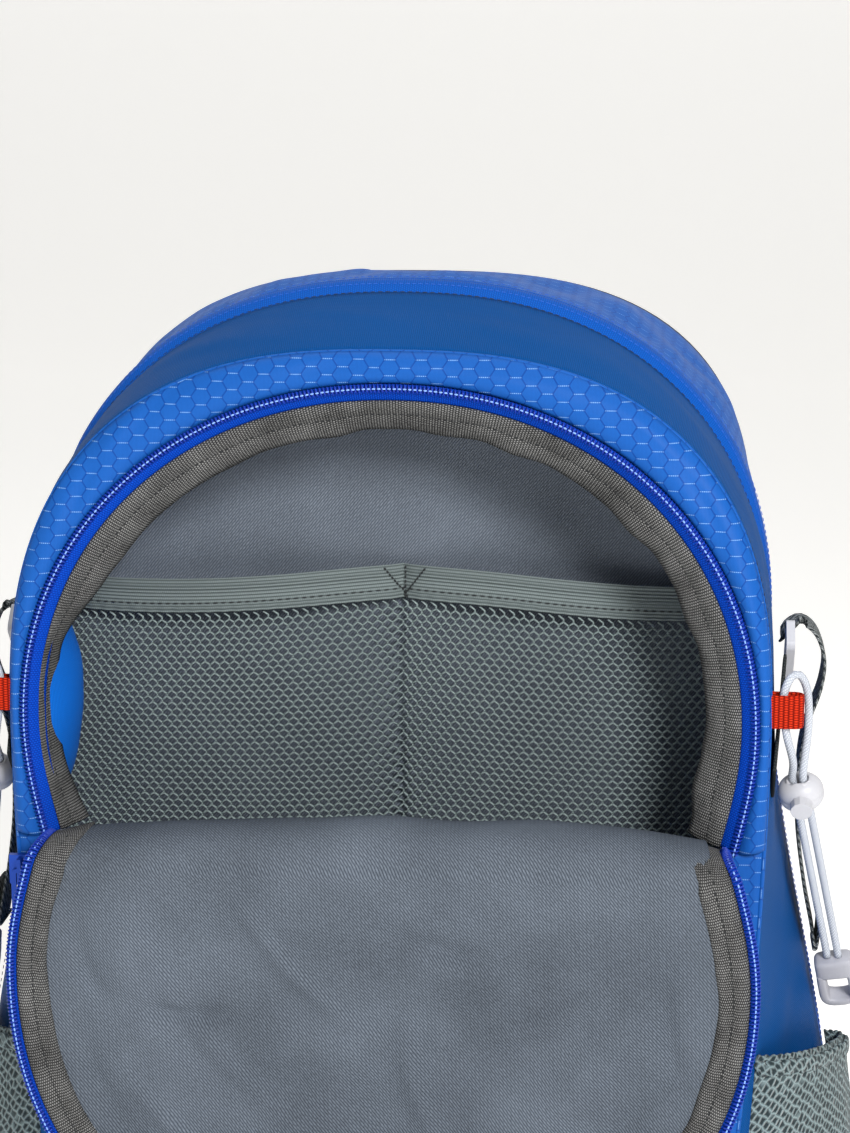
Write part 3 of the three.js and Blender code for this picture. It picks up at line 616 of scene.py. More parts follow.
def knit(name, dark, light, size, depth, turn=0.0, upright=False):
    """Coarse knit: stretched cells of noise-bent thread with dark holes between them."""
    material, tree, shader = new_material(name, 0.85, Sheen_Weight=0.2)
    place = uv_of(tree, turn)
    if upright:
        xyz = put(tree, "SeparateXYZ", {0: put(tree, "TexCoord").outputs["Object"]}).outputs
        place = put(tree, "CombineXYZ", {0: xyz[0], 1: xyz[2]}).outputs[0]
    bent = put(tree, "TexNoise", {"Vector": place, "Scale": 220.0, "Detail": 2.0}).outputs[0]
    warped = put(tree, "VectorMath", {0: place, 1: put(tree, "CombineXYZ", {0: math_node(tree, "MULTIPLY", bent, 0.0012)}).outputs[0]})
    stretched = put(tree, "Mapping", {"Vector": warped.outputs[0], "Scale": (1 / size, 0.62 / size, 1)})
    cells = put(tree, "TexVoronoi", {"Vector": stretched.outputs[0], "Scale": 1.0, "Randomness": 0.35}, feature="DISTANCE_TO_EDGE")
    thread = put(tree, "MapRange", {0: cells.outputs[0], 1: 0.02, 2: 0.26, 3: 1.0, 4: 0.0}).outputs[0]
    color = mixed(tree, thread, rgba(dark), rgba(light))
    varied = shared(tree, "tone", Vector=put(tree, "TexCoord").outputs["Object"], Color=color, Amount=0.2)
    tree.links.new(varied["Color"], shader.inputs["Base Color"])
    raised(tree, shader, thread, depth * MM)
    return material


M = {}


def make_materials(look):
    """Every finish of the pack, by its own plain name."""
    GROUPS.update(ribs=make_ribs_group(), tone=make_tone_group(), hexagons=make_hex_group())
    M["hex"] = hexagon_cloth("hexagon ripstop", look.hex_blue, look.hex_line, look.hex_glint)
    M["gusset"] = woven("ribbed side cloth", look.side_dark, look.side_blue, 0.8, 1.1, 0.14, 0, 0.3, 0.6)
    M["gusset inside"] = woven("uncoated side cloth", (0.003, 0.085, 0.40), (0.008, 0.16, 0.66), 0.8, 0.8, 0.06, 0, 0.3, 0.4)
    # Painted shade: the twill linings' strong, broad uneven tone (amount 0.75 here, 0.7 on the back wall) lays soft
    # blotches at random that stand in for the shading of folds.
    M["lining"] = woven("twill lining", (0.036, 0.045, 0.060), look.lining_grey, 0.95, 2.6, 0.16, 38, 0.25, 0.6, tone=0.75, patch=17.0)
    M["binding"] = woven("grosgrain binding", (0.006, 0.007, 0.008), look.binding_grey, 1.1, 0.85, 0.42, 0, 0.8, 0.85, tone=1.1, patch=70.0)
    M["zip tape"] = woven("zip tape", (0.001, 0.026, 0.27), look.zip_blue, 0.9, 1.3, 0.14, 0, 0.6, 0.6)
    M["main tape"] = woven("main zip tape", (0.002, 0.055, 0.30), (0.005, 0.115, 0.54), 0.9, 1.2, 0.12, 0, 0.5, 0.6)
    # Painted light: the back wall takes a lighter copy of the flap's twill lining, for the stronger light that falls
    # on the wall.
    M["lining wall"] = woven("twill back wall painted lighter", (0.060, 0.072, 0.092), (0.168, 0.192, 0.228), 0.95, 2.6, 0.16, 38, 0.25, 0.6, tone=0.7, patch=12.0)
    M["coil"] = moulded("nylon coil", (0.002, 0.030, 0.34), 0.4)
    M["zip stitch"] = moulded("chain stitch thread", (0.22, 0.40, 0.88), 0.6)
    M["thread"] = moulded("dark sewing thread", (0.018, 0.020, 0.022), 0.7)
    M["blue thread"] = moulded("blue sewing thread", (0.02, 0.12, 0.55), 0.6)
    M["net"] = woven("pocket net thread", (0.14, 0.18, 0.18), (0.44, 0.53, 0.52), 0.5, 0.6, 0.1, 30, 0.6, 0.7)
    M["elastic"] = woven("ribbed elastic", (0.07, 0.085, 0.085), (0.21, 0.25, 0.25), 1.6, 0.9, 0.3, 90, 0.25)
    M["side knit"] = knit("coarse pocket knit", (0.022, 0.034, 0.038), (0.25, 0.33, 0.34), 0.0024, 0.8, 35)
    M["webbing"] = woven("dark webbing", (0.012, 0.014, 0.015), (0.055, 0.062, 0.062), 1.4, 0.9, 0.3, 0, 0.6)
    M["chevron"] = chevron_webbing("chevron webbing", (0.045, 0.055, 0.058), (0.44, 0.47, 0.47))
    M["red webbing"] = woven("red webbing", (0.16, 0.005, 0.002), (0.74, 0.040, 0.010), 1.9, 1.0, 0.45, 0, 0.7, 0.7)
    M["cord"] = woven("braided cord", (0.36, 0.39, 0.44), (0.66, 0.69, 0.75), 1.1, 0.9, 0.14, 45, 0.5, 0.6)
    M["pale plastic"] = moulded("pale plastic", (0.53, 0.53, 0.56), 0.35)
    M["hook plastic"] = moulded("hook plastic", (0.40, 0.40, 0.44), 0.4)
    M["dark plastic"] = moulded("dark plastic", (0.018, 0.020, 0.022), 0.42)
    M["air mesh"] = knit("spacer mesh", (0.008, 0.009, 0.010), (0.060, 0.066, 0.072), 0.0030, 0.8, 0, True)
    M["strap cloth"] = woven("strap cloth", (0.014, 0.016, 0.018), (0.045, 0.050, 0.055), 0.8, 0.8, 0.15, 0, 0.6)
    M["board"] = moulded("stiff sheet", (0.75, 0.75, 0.72), 0.45)
    M["painted metal"] = moulded("painted zinc", (0.01, 0.06, 0.40), 0.3, Metallic=0.5)


# ---------- stage ----------


def make_stage(look):
    """Pale sweep of floor and wall, soft lamps, and a camera a little above and to the right."""
    width, depth, height, bend = 9000, 2600, 5200, 900
    a = np.linspace(0, np.pi / 2, 16)
    curve = np.stack([depth + bend * np.sin(a), bend * (1 - np.cos(a))], axis=1)
    profile = np.concatenate([[[-5200, 0]], curve, [[depth + bend, height]]])
    x = np.linspace(-width / 2, width / 2, 3)
    grid = np.stack([np.broadcast_to(x, (len(profile), 3)), *[np.repeat(profile[:, k : k + 1], 3, 1) for k in (0, 1)]], -1)
    floor = piece_from("studio_sweep", grid.reshape(-1, 3) + [0, 0, -0.3], grid_faces(len(profile), 3))
    material, tree, shader = new_material("pale paper", 0.9)
    fibres = put(tree, "TexNoise", {"Vector": put(tree, "TexCoord").outputs["Object"], "Scale": 30.0})
    paper = mixed(tree, fibres.outputs[0], rgba((0.90, 0.893, 0.875)), rgba((0.92, 0.913, 0.895)))
    tree.links.new(paper, shader.inputs["Base Color"])
    shader.inputs["Emission Color"].default_value = (1.0, 0.99, 0.97, 1)
    shader.inputs["Emission Strength"].default_value = 0.36
    floor.data.materials.append(material)

    world = bpy.data.worlds.new("studio")
    world.use_nodes = True
    world.node_tree.nodes["Background"].inputs["Color"].default_value = (1.0, 0.995, 0.985, 1)
    world.node_tree.nodes["Background"].inputs["Strength"].default_value = look.ambient
    scene = bpy.context.scene
    scene.world = world
    scene.view_settings.view_transform = "Standard"

    lamps = (
        ("key", (720, -1560, 1200), 480, look.key_power),
        ("fill", (-1500, -1300, 700), 1300, look.key_power * 0.14),
        ("top", (0, 200, 1900), 1200, look.key_power * 0.30),
    )
    for name, place, size, power in lamps:
        lamp = bpy.data.lights.new(name, "AREA")
        lamp.energy = power
        lamp.size = size * MM
        made = bpy.data.objects.new(name, lamp)
        made.location = np.array(place) * MM
        aim_at(made, np.array([0, 0, 280]) * MM)
        scene.collection.objects.link(made)

    camera = bpy.data.cameras.new("camera")
    camera.lens = look.lens
    made = bpy.data.objects.new("camera", camera)
    turn, rise = look.azimuth, look.elevation
    away = np.array([math.sin(turn) * math.cos(rise), -math.cos(turn) * math.cos(rise), math.sin(rise)])
    target = np.array(look.target)
    made.location = target + away * look.distance
    aim_at(made, target)
    scene.collection.objects.link(made)
    scene.camera = made


def aim_at(thing, target):
    """Turns a lamp or the camera so that it looks at a place."""
    way = Vector(target) - thing.location
    thing.rotation_euler = way.to_track_quat("-Z", "Y").to_euler()


# ---------- front half ----------

AROUND = 300  # points along an arch
PANEL_FOLDS = (
    (-78, 440, 32, 26, 3.2, -2.2), (-52, 448, 14, 24, 3.0, 1.8), (-20, 444, 4, 22, 3.0, -1.6),
    (-104, 420, 47, 18, 3.4, 1.8), (-120, 396, 62, 20, 3.0, -1.5), (60, 444, -12, 26, 3.2, -1.4),
    (96, 426, -36, 22, 3.2, 1.7), (121, 396, -58, 24, 3.0, -1.4), (140, 352, -76, 26, 3.0, 1.0),
)


def make_front_panel():
    """The ripstop face: a border between the opening and the seam, puffed by a half sine, and the panel below."""
    seam_all = arch(FACE_OUTLINE, 2 * AROUND)
    seam = resampled(seam_all[seam_all[:, 1] >= FOLD_Z - 1], AROUND)
    edge = inset(arch(OPENING_OUTLINE, AROUND), -0.4)
    rows, t = blend_rows(seam, edge, 12)
    width = np.linalg.norm(seam - edge, axis=1)
    puff = np.minimum(width * 0.34, 3.6) * np.sin(np.pi * np.clip(t * 1.04, 0, 1)) ** 0.7
    wrinkles = creases(rows[..., 0], rows[..., 1], PANEL_FOLDS) * np.sin(np.pi * t) ** 0.5
    lumps = 0.5 * noise(rows[..., 0] / 21 + 20, rows[..., 1] / 21, 3) * np.sin(np.pi * t)
    y = front_y(rows[..., 0], rows[..., 1]) - puff - wrinkles - lumps
    border = sheet("front_border", lifted(rows, y)[:, ::-1], M["hex"], 1.6, rows[:, ::-1] * MM)
    done(border, "front", "hex_fabric", "front_panel_border")

    z = np.linspace(62.5, FOLD_Z - 0.5, 60)[:, None]
    half = half_width(FRONT_OUTLINE, z)
    x = half * np.linspace(-1, 1, 90)[None]
    z = np.broadcast_to(z, x.shape)
    belly = 2.5 * np.sin(np.pi * (z - 62.5) / 196) * (1 - (x / half) ** 2)
    soft = 0.9 * noise(x / 34 + 9, z / 30, 8) * (1 - (x / half) ** 4)
    y = front_y(x, z) - belly - soft
    xz = np.stack([x, z], axis=-1)
    lower = sheet("front_lower_panel", lifted(xz, y), M["hex"], 1.8, xz * MM)
    done(lower, "front", "hex_fabric", "front_panel_lower")


def gusset_grid(near, near_y, far, far_y, rows, swell_by, seed):
    """A band between two outlines that bows out by a half sine and carries soft lumps."""
    points, t = blend_rows(near, far, rows)
    y = near_y[None] * (1 - t) + far_y * t
    out = swell_by * np.sin(np.pi * t) + 0.8 * noise(np.arange(len(near)) / 13.0 + 5 * t, t * 3, seed) * np.sin(np.pi * t)
    moved = np.stack([inset(points[i], -out[i]) for i in range(rows)])
    return lifted(moved, y)


def make_front_gusset():
    """The side cloth from the face's seam to the main zip, its lining, its piping and its two seams."""
    seam = arch(FACE_OUTLINE, 2 * AROUND)
    zip_edge = arch(ZIP_OUTLINE, 2 * AROUND)
    seam_y = front_y(seam[:, 0], seam[:, 1]) + 1.2
    outside = gusset_grid(seam, seam_y, zip_edge, -19.6, 16, 1.6, 4)
    done(sheet("side_gusset", outside, M["gusset"], 1.2), "front", "side_fabric", "front_gusset")
    inside = gusset_grid(inset(seam, 2.2), seam_y + 2.5, inset(zip_edge, 3.2), -15.0, 14, -1.5, 6)
    done(sheet("side_gusset_inside", inside[:, ::-1], M["gusset inside"], 0.5), "front", "side_fabric")
    z, t = np.linspace(262, 346, 60)[:, None], np.linspace(0, 1, 40)[None]
    full = np.sin(np.pi * (z - 262) / 84) ** 0.6 * (1 + 0.12 * noise(z / 16, t * 2, 25))
    x = -(138.5 - 11.5 * np.sin(np.pi * t) ** 0.7 * full + 6.5 * t**2)
    bulge = np.stack([x, -86.5 + 64 * t + 0 * z, z + 0 * t], axis=-1)
    done(sheet("side_gusset_bulge", bulge, M["gusset inside"], 0.5), "front", "side_fabric")
    _, _, normal = frames_along(lifted(seam, seam_y), (0, 1, 0))
    piping = swept(lifted(inset(seam, 0.6), seam_y - 0.6), (0, 1, 0), section_box(2.0, 2.0, 10, 2.0))
    done(loft("front_seam_piping", piping, M["hex"]), "front", "hex_fabric")
    for name, away, depth in (("front_seam_stitches", 0.4, 3.4), ("rear_seam_stitches", 0.3, 0.0)):
        line = inset(seam, -away) if depth else inset(zip_edge, -0.5)
        y = seam_y + depth if depth else np.full(len(line), -22.4)
        row = stitches(name, lifted(line, y), normal, M["thread"], 3.0, 2.1, 0.5)
        done(row, "front", "side_fabric")


def opening_ribbon(outline, profile, wave=0.0, seed=1):
    """A ribbon along an outline of the front surface; its profile is rows of (inset, depth behind the face)."""
    rows = []
    x, z = outline[:, 0], outline[:, 1]
    ripple = wave * noise(np.arange(len(outline)) / 9.0, np.zeros(len(outline)), seed)
    rolled = 0.72 * np.exp(-(((z - 304) / 47) ** 4)) * (x < 0) * (wave > 0)
    for k, (distance, depth) in enumerate(profile):
        share = k / max(1, len(profile) - 1)
        inward = profile[0][0] + (distance - profile[0][0]) * (1 - rolled)
        back = depth + ripple * share * 0.6 + 6 * rolled * share
        rows.append(lifted(inset(outline, inward + ripple * share), front_y(x, z) + back))
    return np.array(rows)


def make_front_zip():
    """The fixed row of the front zip: coil turned out at the panel's edge, its tape, and a two-band binding."""
    edge = arch(OPENING_OUTLINE, AROUND)
    y = front_y(edge[:, 0], edge[:, 1])
    _, side, _ = frames_along(lifted(edge, y), (0, 1, 0))
    across = np.cross(unit(np.gradient(lifted(edge, y), axis=0)), [0, 1.0, 0])
    path = lifted(inset(edge, 0.9), y - 2.2)
    done(coil("front_zip_coil", path, across, M["coil"]), "front", "zip_blue", "opening_zip")
    line = lifted(inset(edge, 0.9), y - 3.25)
    row = stitches("front_zip_stitches", line, np.tile([0, -1.0, 0], (AROUND, 1)), M["zip stitch"], 2.0, 1.5, 0.75)
    done(row, "front", "zip_blue")
    tape = opening_ribbon(edge, ((-0.6, -1.2), (0.6, -1.4), (2.2, -1.2), (4.4, 0.4), (6.4, 2.6), (8.2, 5.0)))
    done(sheet("front_zip_tape", tape[::-1], M["zip tape"], 0.5), "front", "zip_blue")
    band = ((6.2, 1.6), (7.4, 1.4), (9.4, 2.0), (11.6, 3.4), (12.8, 5.0), (14.0, 5.2), (16.6, 6.6), (19.0, 8.8), (20.6, 11.5))
    binding = opening_ribbon(edge, band, 1.5, 12)
    done(sheet("front_binding", binding[::-1], M["binding"], 1.0), "front", "binding", "opening_binding")
    seam = binding[4] + [0, -0.25, 0]
    row = stitches("front_binding_stitches", seam, np.tile([0, -1.0, 0], (AROUND, 1)), M["thread"], 2.8, 2.0, 0.5)
    done(row, "front", "binding")


LINING_FOLDS = (
    (-70, 398, 34, 30, 4.2, 1.6), (66, 404, -36, 34, 4.0, 1.7), (24, 384, 62, 26, 4.0, -1.5), (108, 384, -62, 26, 3.8, 1.6),
    (-60, 400, 18, 60, 8, 1.8), (40, 410, -24, 70, 9, 2.0), (0, 380, 4, 80, 7, -1.6), (90, 380, -50, 45, 7, 1.5),
    (-100, 370, 50, 40, 8, -1.5), (20, 300, 70, 60, 10, 1.2), (-50, 200, 85, 60, 12, 1.2),
)


def make_divider():
    """The twill wall behind the organiser pocket: flat, with soft folds that pull from its corners. Its twill is a
    lighter copy of the lining, painted light for the stronger light on the wall.
    """
    half = arch(DIVIDER_OUTLINE, 161)
    right = half[80:][::-1]
    z = right[:, 1][:, None]
    x = right[:, 0][:, None] * np.linspace(-1, 1, 101)[None]
    z = np.broadcast_to(z, x.shape)
    edge = 1 - np.abs(np.linspace(-1, 1, 101))[None] ** 6
    ruffle = 1.5 * noise(x / 36 + 30, z / 36, 15) + 0.6 * noise(x / 14, z / 17, 16)
    y = -14.8 - (1.4 * creases(x, z, LINING_FOLDS) + ruffle) * edge
    y = np.minimum(y, -12.4)
    xz = np.stack([x, z], axis=-1)
    done(sheet("divider_lining", lifted(xz, y), M["lining wall"], 0.8, xz * MM), "front", "lining", "divider")
    x, y = np.meshgrid(np.linspace(-1, 1, 60), np.linspace(0, 1, 24))
    reach = 128 + 21 * y
    z = 63.8 + 0.8 * noise(x * 4, y * 3, 2)
    grid = np.stack([x * reach, -88 + 72.5 * y, z], axis=-1)
    done(sheet("compartment_floor_lining", grid, M["lining"], 0.9), "front", "lining", "compartment_floor")


POCKET_LOW, POCKET_HIGH = 68.0, 338.0


def pocket_surface(u, z):
    """The organiser's front: two bays that bulge as the square root of a sine, sewn down in the middle."""
    half = 148 - 5 * (z - 68) / 280
    x = (2 * u - 1) * half
    gather = np.clip((z - 68) / 60, 0, 1)
    bay = np.abs(np.sin(2 * np.pi * u)) ** 0.5
    sag = 3.0 * np.exp(-(((z - 300) / 45) ** 2)) * bay
    y = -16.8 - (12.0 * bay + sag - 1.2 * noise(u * 9, z / 40, 21)) * gather
    return np.stack([x, y, z + 7 * (np.exp(-(((u - 0.53) / 0.25) ** 2)) - 0.5) * np.clip((z - 200) / 140, 0, 1)], -1)


def make_organiser():
    """The organiser pocket: an open honeycomb net of flat threads, with a ribbed elastic edge and bar tacks."""
    sizes = bpy.context.scene.daypack_sizes
    pitch, step_z, slant = sizes.net_pitch / MM / 290, sizes.net_step / MM, 0.78
    columns, rows = int(1 / pitch), int((POCKET_HIGH - POCKET_LOW) / step_z)
    i, j = np.meshgrid(np.arange(columns), np.arange(rows))
    centres = np.stack([(i + 0.5 * (j % 2)) * pitch + 0.004, POCKET_LOW + j * step_z], -1).reshape(-1, 1, 2)
    corners = np.array([[0, slant], [0.5 * pitch, 1 - slant], [0.5 * pitch, slant - 1], [0, -slant]]) * [1, step_z]
    ends = np.stack([centres + corners[:3], centres + corners[1:]], axis=2).reshape(-1, 2, 2)
    inside = (ends[..., 0].max(1) < 0.995) & (ends[..., 1].min(1) > POCKET_LOW) & (ends[..., 1].max(1) < POCKET_HIGH + 2)
    ends = ends[inside]
    p, q = pocket_surface(ends[:, 0, 0], ends[:, 0, 1]), pocket_surface(ends[:, 1, 0], ends[:, 1, 1])
    du = pocket_surface(ends[:, 0, 0] + 0.003, ends[:, 0, 1]) - p
    dz = pocket_surface(ends[:, 0, 0], ends[:, 0, 1] + 1.0) - p
    normal = unit(np.cross(du, dz))
    side = unit(np.cross(normal, q - p))
    prism = np.array([[end, a, b] for end in (-0.55, 0.55) for a, b in ((-0.5, -0.35), (0.5, -0.35), (0, 0.6))])
    faces = [(0, 1, 2), (5, 4, 3)]
    for a, b in ((0, 1), (1, 2), (2, 0)):
        faces += [(a, a + 3, b + 3), (a, b + 3, b)]
    axes = np.stack([q - p, side * 0.95, normal * 0.9], axis=1)
    uv = np.stack([prism[:, 0] * 0.003, prism[:, 1] * 0.001], axis=1)
    net = scattered("organiser_net", prism, faces, (p + q) / 2, axes, M["net"], uv)
    done(net, "front", "pocket_mesh", "mesh_pocket")

    u = np.linspace(0, 1, 260)
    across = np.linspace(0, 1, 60)
    uu, vv = np.meshgrid(u, across)
    base = pocket_surface(uu, POCKET_HIGH - 2 + sizes.elastic / MM * vv)
    ribs = 0.5 * np.abs(np.sin(vv * np.pi * 9))
    pull = 0.5 * np.sin(uu * 290) * np.exp(-((vv / 0.25) ** 2))
    base[..., 1] += -1.2 - ribs - pull * 0.5
    band = sheet("organiser_elastic", base, M["elastic"], 1.3)
    done(band, "front", "elastic", "mesh_pocket_elastic")
    line = pocket_surface(u, np.full(260, POCKET_HIGH + 2.2)) + [0, -2.1, 0]
    row = stitches("organiser_stitches", line, np.tile([0, -1.0, 0], (260, 1)), M["thread"], 3.4, 2.2, 0.6)
    done(row, "front", "elastic")
    for k, lean in enumerate((-0.75, 0.0, 0.75)):
        z = np.linspace(POCKET_HIGH - 1, POCKET_HIGH + 11, 12)
        tack = pocket_surface(0.503 + lean * (z - POCKET_HIGH) / 290, z) + [0, -2.2, 0]
        row = stitches(f"organiser_bar_tack_{k}", tack, np.tile([0, -1.0, 0], (12, 1)), M["thread"], 1.6, 1.4, 0.8)
        done(row, "front", "elastic")


# ---------- flap ----------

FLAP_FOLDS = (
    (-78, 322, 6, 24, 3.4, -2.6), (-70, 330, 52, 46, 4.0, 1.7), (-36, 302, 48, 44, 3.6, 1.9), (-118, 296, 76, 22, 3.2, -2.4),
    (-110, 352, 64, 26, 3.4, -2.0), (34, 296, 12, 38, 4.2, -1.7), (72, 318, -28, 36, 3.8, 1.8), (112, 322, 82, 26, 3.2, -2.3),
    (14, 350, 74, 30, 4.2, 1.4), (-84, 366, 40, 24, 3.2, 1.8), (96, 362, -44, 28, 3.6, -1.9),
    (-96, 312, 70, 40, 11, 3.0), (-40, 330, 20, 60, 12, 2.2), (20, 300, -10, 90, 13, 2.4), (84, 340, -48, 52, 10, 2.4),
    (50, 380, 16, 60, 10, -2.0), (-60, 385, -30, 50, 10, 1.8), (104, 300, 84, 38, 9, -2.2), (0, 350, 88, 40, 12, -1.6),
    (-20, 284, 3, 90, 8, 1.6), (60, 290, -8, 50, 6, -1.6),
)


def opened(x, z, depth):
    """A place on the closed flap after half a turn about the flap's axis; depth counts towards the bag."""
    return np.stack(np.broadcast_arrays(x, 2 * FLAP_AXIS_Y - (front_y(x, z) + depth), 2 * FOLD_Z - z), axis=-1)


def roll_over(first, last, lift, count):
    """Rows over the fold between two rows of points: half an ellipse, whose height is the lift."""
    a = np.linspace(0, np.pi, count)[:, None, None]
    rows = first + (last - first) * (1 - np.cos(a)) / 2
    rows[..., 2] += np.sin(a[..., 0]) ** 0.8 * lift
    return rows


def fold_lift(s):
    """Height of the fold's crest over its feet, for s from -1 to 1 across the flap."""
    return 21.0 * (1 - 0.36 * np.abs(s) ** 3) + 1.4 * s + 1.1 * noise(s * 4 + 9, s * 0, 41)


def flap_grid(inward, depth, columns=111, soft=1.0):
    """The flap's area inside an inset of its outline: rows across it, from the fold to the crown."""
    half = inset(arch(FLAP_OUTLINE, 201), inward)[100:][::-1]
    z = half[:, 1][:, None]
    s = np.linspace(-1, 1, columns)[None]
    x = np.maximum(half[:, 0], 0)[:, None] * s
    z = np.broadcast_to(z, x.shape)
    hold = (1 - np.abs(s) ** 5) * np.clip((z - 258) / 30, 0, 1)
    ruffle = 1.9 * noise(x / 38 + 12, z / 38, 31) + 0.8 * noise(x / 15 + 5, z / 19, 33)
    relief = soft * (1.5 * creases(x, z, FLAP_FOLDS) + ruffle) * hold
    return opened(x, z, depth + relief), np.stack([x, z], axis=-1)


def over_fold(curve, distance, depth, lift):
    """A curve along the flap's edge, led at both ends over the fold to the same inset of the opening."""
    inside = np.array([curve[0, 0] * 0.985, front_y(137, 257) + depth, 251.0])
    lead = roll_over(inside, curve[0], lift, 16)[:-1, 0]
    lead[:, 0] += np.sin(np.linspace(0, np.pi, 16))[:-1] * (4.0 + 0.12 * distance)
    return np.concatenate([lead, curve, (lead * [-1, 1, 1])[::-1]])


def flap_curve(edge, distance, rise, lift, wave=0.0):
    xz = inset(edge, distance + wave)
    return over_fold(opened(xz[:, 0], xz[:, 1], rise), distance, 1.5 + 0.5 * distance, lift)


def hinged(piece, slot, *nodes):
    """Puts cloth that crosses the fold between the front and the flap."""
    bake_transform(piece)
    if nodes:
        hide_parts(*nodes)
    return piece


def make_flap():
    """The flap: lining that rolls over the fold, ripstop behind it, binding and its own row of the zip."""
    inside, xz = flap_grid(11.0, -1.4)
    s = np.linspace(-1, 1, inside.shape[1])
    first = inside[0] * [0.97, 0, 0] + [0, -85, 246] + np.stack([0 * s, 6 * s**2, 0 * s], 1)
    roll = roll_over(first[None], inside[:1], fold_lift(s), 24)
    roll[..., 1] += 0.9 * noise(s * 7, np.linspace(0, 3, 24)[:, None], 44)
    flat = np.stack([roll[..., 0], np.broadcast_to(xz[0, 0, 1] - np.linspace(58, 0, 24)[:, None], roll.shape[:2])], -1)
    rows = np.concatenate([roll[:-1], inside])
    uv = np.concatenate([flat[:-1], xz])
    lining = hinged(sheet("flap_lining", rows, M["lining"], 0.7, uv * MM), "lining")
    outside, xz = flap_grid(0.5, -4.2, soft=0.25)
    shell = sheet("flap_shell", outside[:, ::-1], M["hex"], 1.4, xz[:, ::-1] * MM)
    done(shell, "flap", "hex_fabric", "flap_panel")

    edge = arch(FLAP_OUTLINE, AROUND)
    profile = ((2.2, -1.6), (3.0, -0.2), (5.0, 0.9), (7.4, 1.0), (9.0, 0.1), (10.2, 0.2), (12.0, 1.1), (14.0, 0.8), (15.4, -1.2))
    wave = 1.2 * noise(np.arange(AROUND) / 10.0, np.zeros(AROUND), 19)
    rows = np.array([flap_curve(edge, d, rise, 9 + 0.3 * d, wave * k / 8) for k, (d, rise) in enumerate(profile)])
    hinged(sheet("flap_binding_tape", rows, M["binding"], 1.0), "binding", "flap_binding")
    toward = np.tile([0, -1.0, 0], (rows.shape[1], 1))
    row = stitches("flap_binding_stitches", rows[4] + [0, -0.3, 0], toward, M["thread"], 2.8, 2.0, 0.5)
    hinged(row, "binding")

    path = flap_curve(edge, 0.2, -0.2, 9)
    across = np.cross(unit(np.gradient(path, axis=0)), [0, 1.0, 0])
    hinged(coil("flap_zip_coil", path, across, M["coil"]), "zip_blue", "flap_zip")
    line = flap_curve(edge, 0.2, 0.85, 9.6)
    hinged(stitches("flap_zip_stitches", line, toward, M["zip stitch"], 2.0, 1.5, 0.75), "zip_blue")
    rows = np.array([flap_curve(edge, d, rise, 8.6) for d, rise in ((-1.4, -1.0), (1.0, -1.3), (4.0, -1.6))])
    hinged(sheet("flap_zip_tape", rows, M["zip tape"], 0.6), "zip_blue")


# ---------- rear half ----------


def tub_rim(count):
    """The base's plan: a straight front, two curved quarters and a rounded back, mirrored; from the frame."""
    quad = lambda p, q, r: [(1 - t) ** 2 * np.array(p) + 2 * t * (1 - t) * np.array(q) + t * t * np.array(r) for t in np.linspace(0, 1, 30)]
    half = [(0, -97), (102, -95.5)]
    half += quad((102, -95.5), (134, -93), (151, -58)) + quad((151, -58), (166, -22), (166, 8)) + [(157, 68)]
    half += quad((157, 68), (154, BACK_Y), (140, BACK_Y)) + [(0, BACK_Y)]
    right = np.array([tuple(p) for p in half], float)
    left = right[1:-1][::-1] * [-1, 1]
    return resampled(np.concatenate([right, left, right[:1]]), count)


def make_rear_shell():
    """Rear gusset of ripstop, dark base of side cloth with a rounded foot, and piping on the back seam."""
    near, far = arch(REAR_ZIP_OUTLINE, 2 * AROUND), arch(BACK_OUTLINE, 2 * AROUND)
    points, t = blend_rows(near, far, 26)
    u = np.arange(2 * AROUND) / (2 * AROUND)
    lumps = 2.4 * noise(u * 34, t * 3 + 2, 51) + 1.2 * noise(u * 80, t * 6, 52)
    out = (1.4 + lumps) * np.sin(np.pi * t) ** 0.8
    moved = np.stack([inset(points[i], -out[i]) for i in range(len(points))])
    grid = lifted(moved, 4.2 + (BACK_Y - 4.2) * t)
    done(sheet("rear_gusset_cloth", grid, M["hex"], 1.6, None, M["lining"]), "rear", "hex_fabric", "rear_gusset")
    piping = swept(lifted(inset(far, 3.2), np.full(len(far), BACK_Y - 1.0)), (0, 1, 0), section_box(4.2, 4.2, 12, 2.0))
    done(loft("back_seam_piping", piping, M["gusset"]), "rear", "side_fabric")

    rim = tub_rim(241)
    tangent = unit(np.gradient(rim, axis=0))
    normal = np.stack([-tangent[:, 1], tangent[:, 0]], axis=1)
    a = np.linspace(0, np.pi / 2, 12)
    heights = np.concatenate([np.linspace(60.5, 17, 12), 17 - 17 * np.sin(a[1:])])
    inward = np.concatenate([np.zeros(12), 15 * (1 - np.cos(a[1:]))])
    rows = []
    for z, by in zip(heights, inward):
        soft = 0.8 * noise(np.arange(241) / 9.0, np.full(241, z / 14), 61) * np.clip(z / 20, 0, 1) * np.clip((62 - z) / 14, 0, 1)
        xy = rim + normal * (by - soft)[:, None]
        rows.append(np.stack([xy[:, 0], xy[:, 1], np.full(241, z)], axis=1))
    for share in (0.7, 0.4, 0.1, 0.0):
        rows.append(np.stack([rows[22][:, 0] * share, rows[22][:, 1] * share, np.zeros(241)], axis=1))
    done(sheet("base_cloth", np.array(rows)[::-1], M["gusset"], 1.6, None, M["lining"]), "rear", "side_fabric", "base_tub")


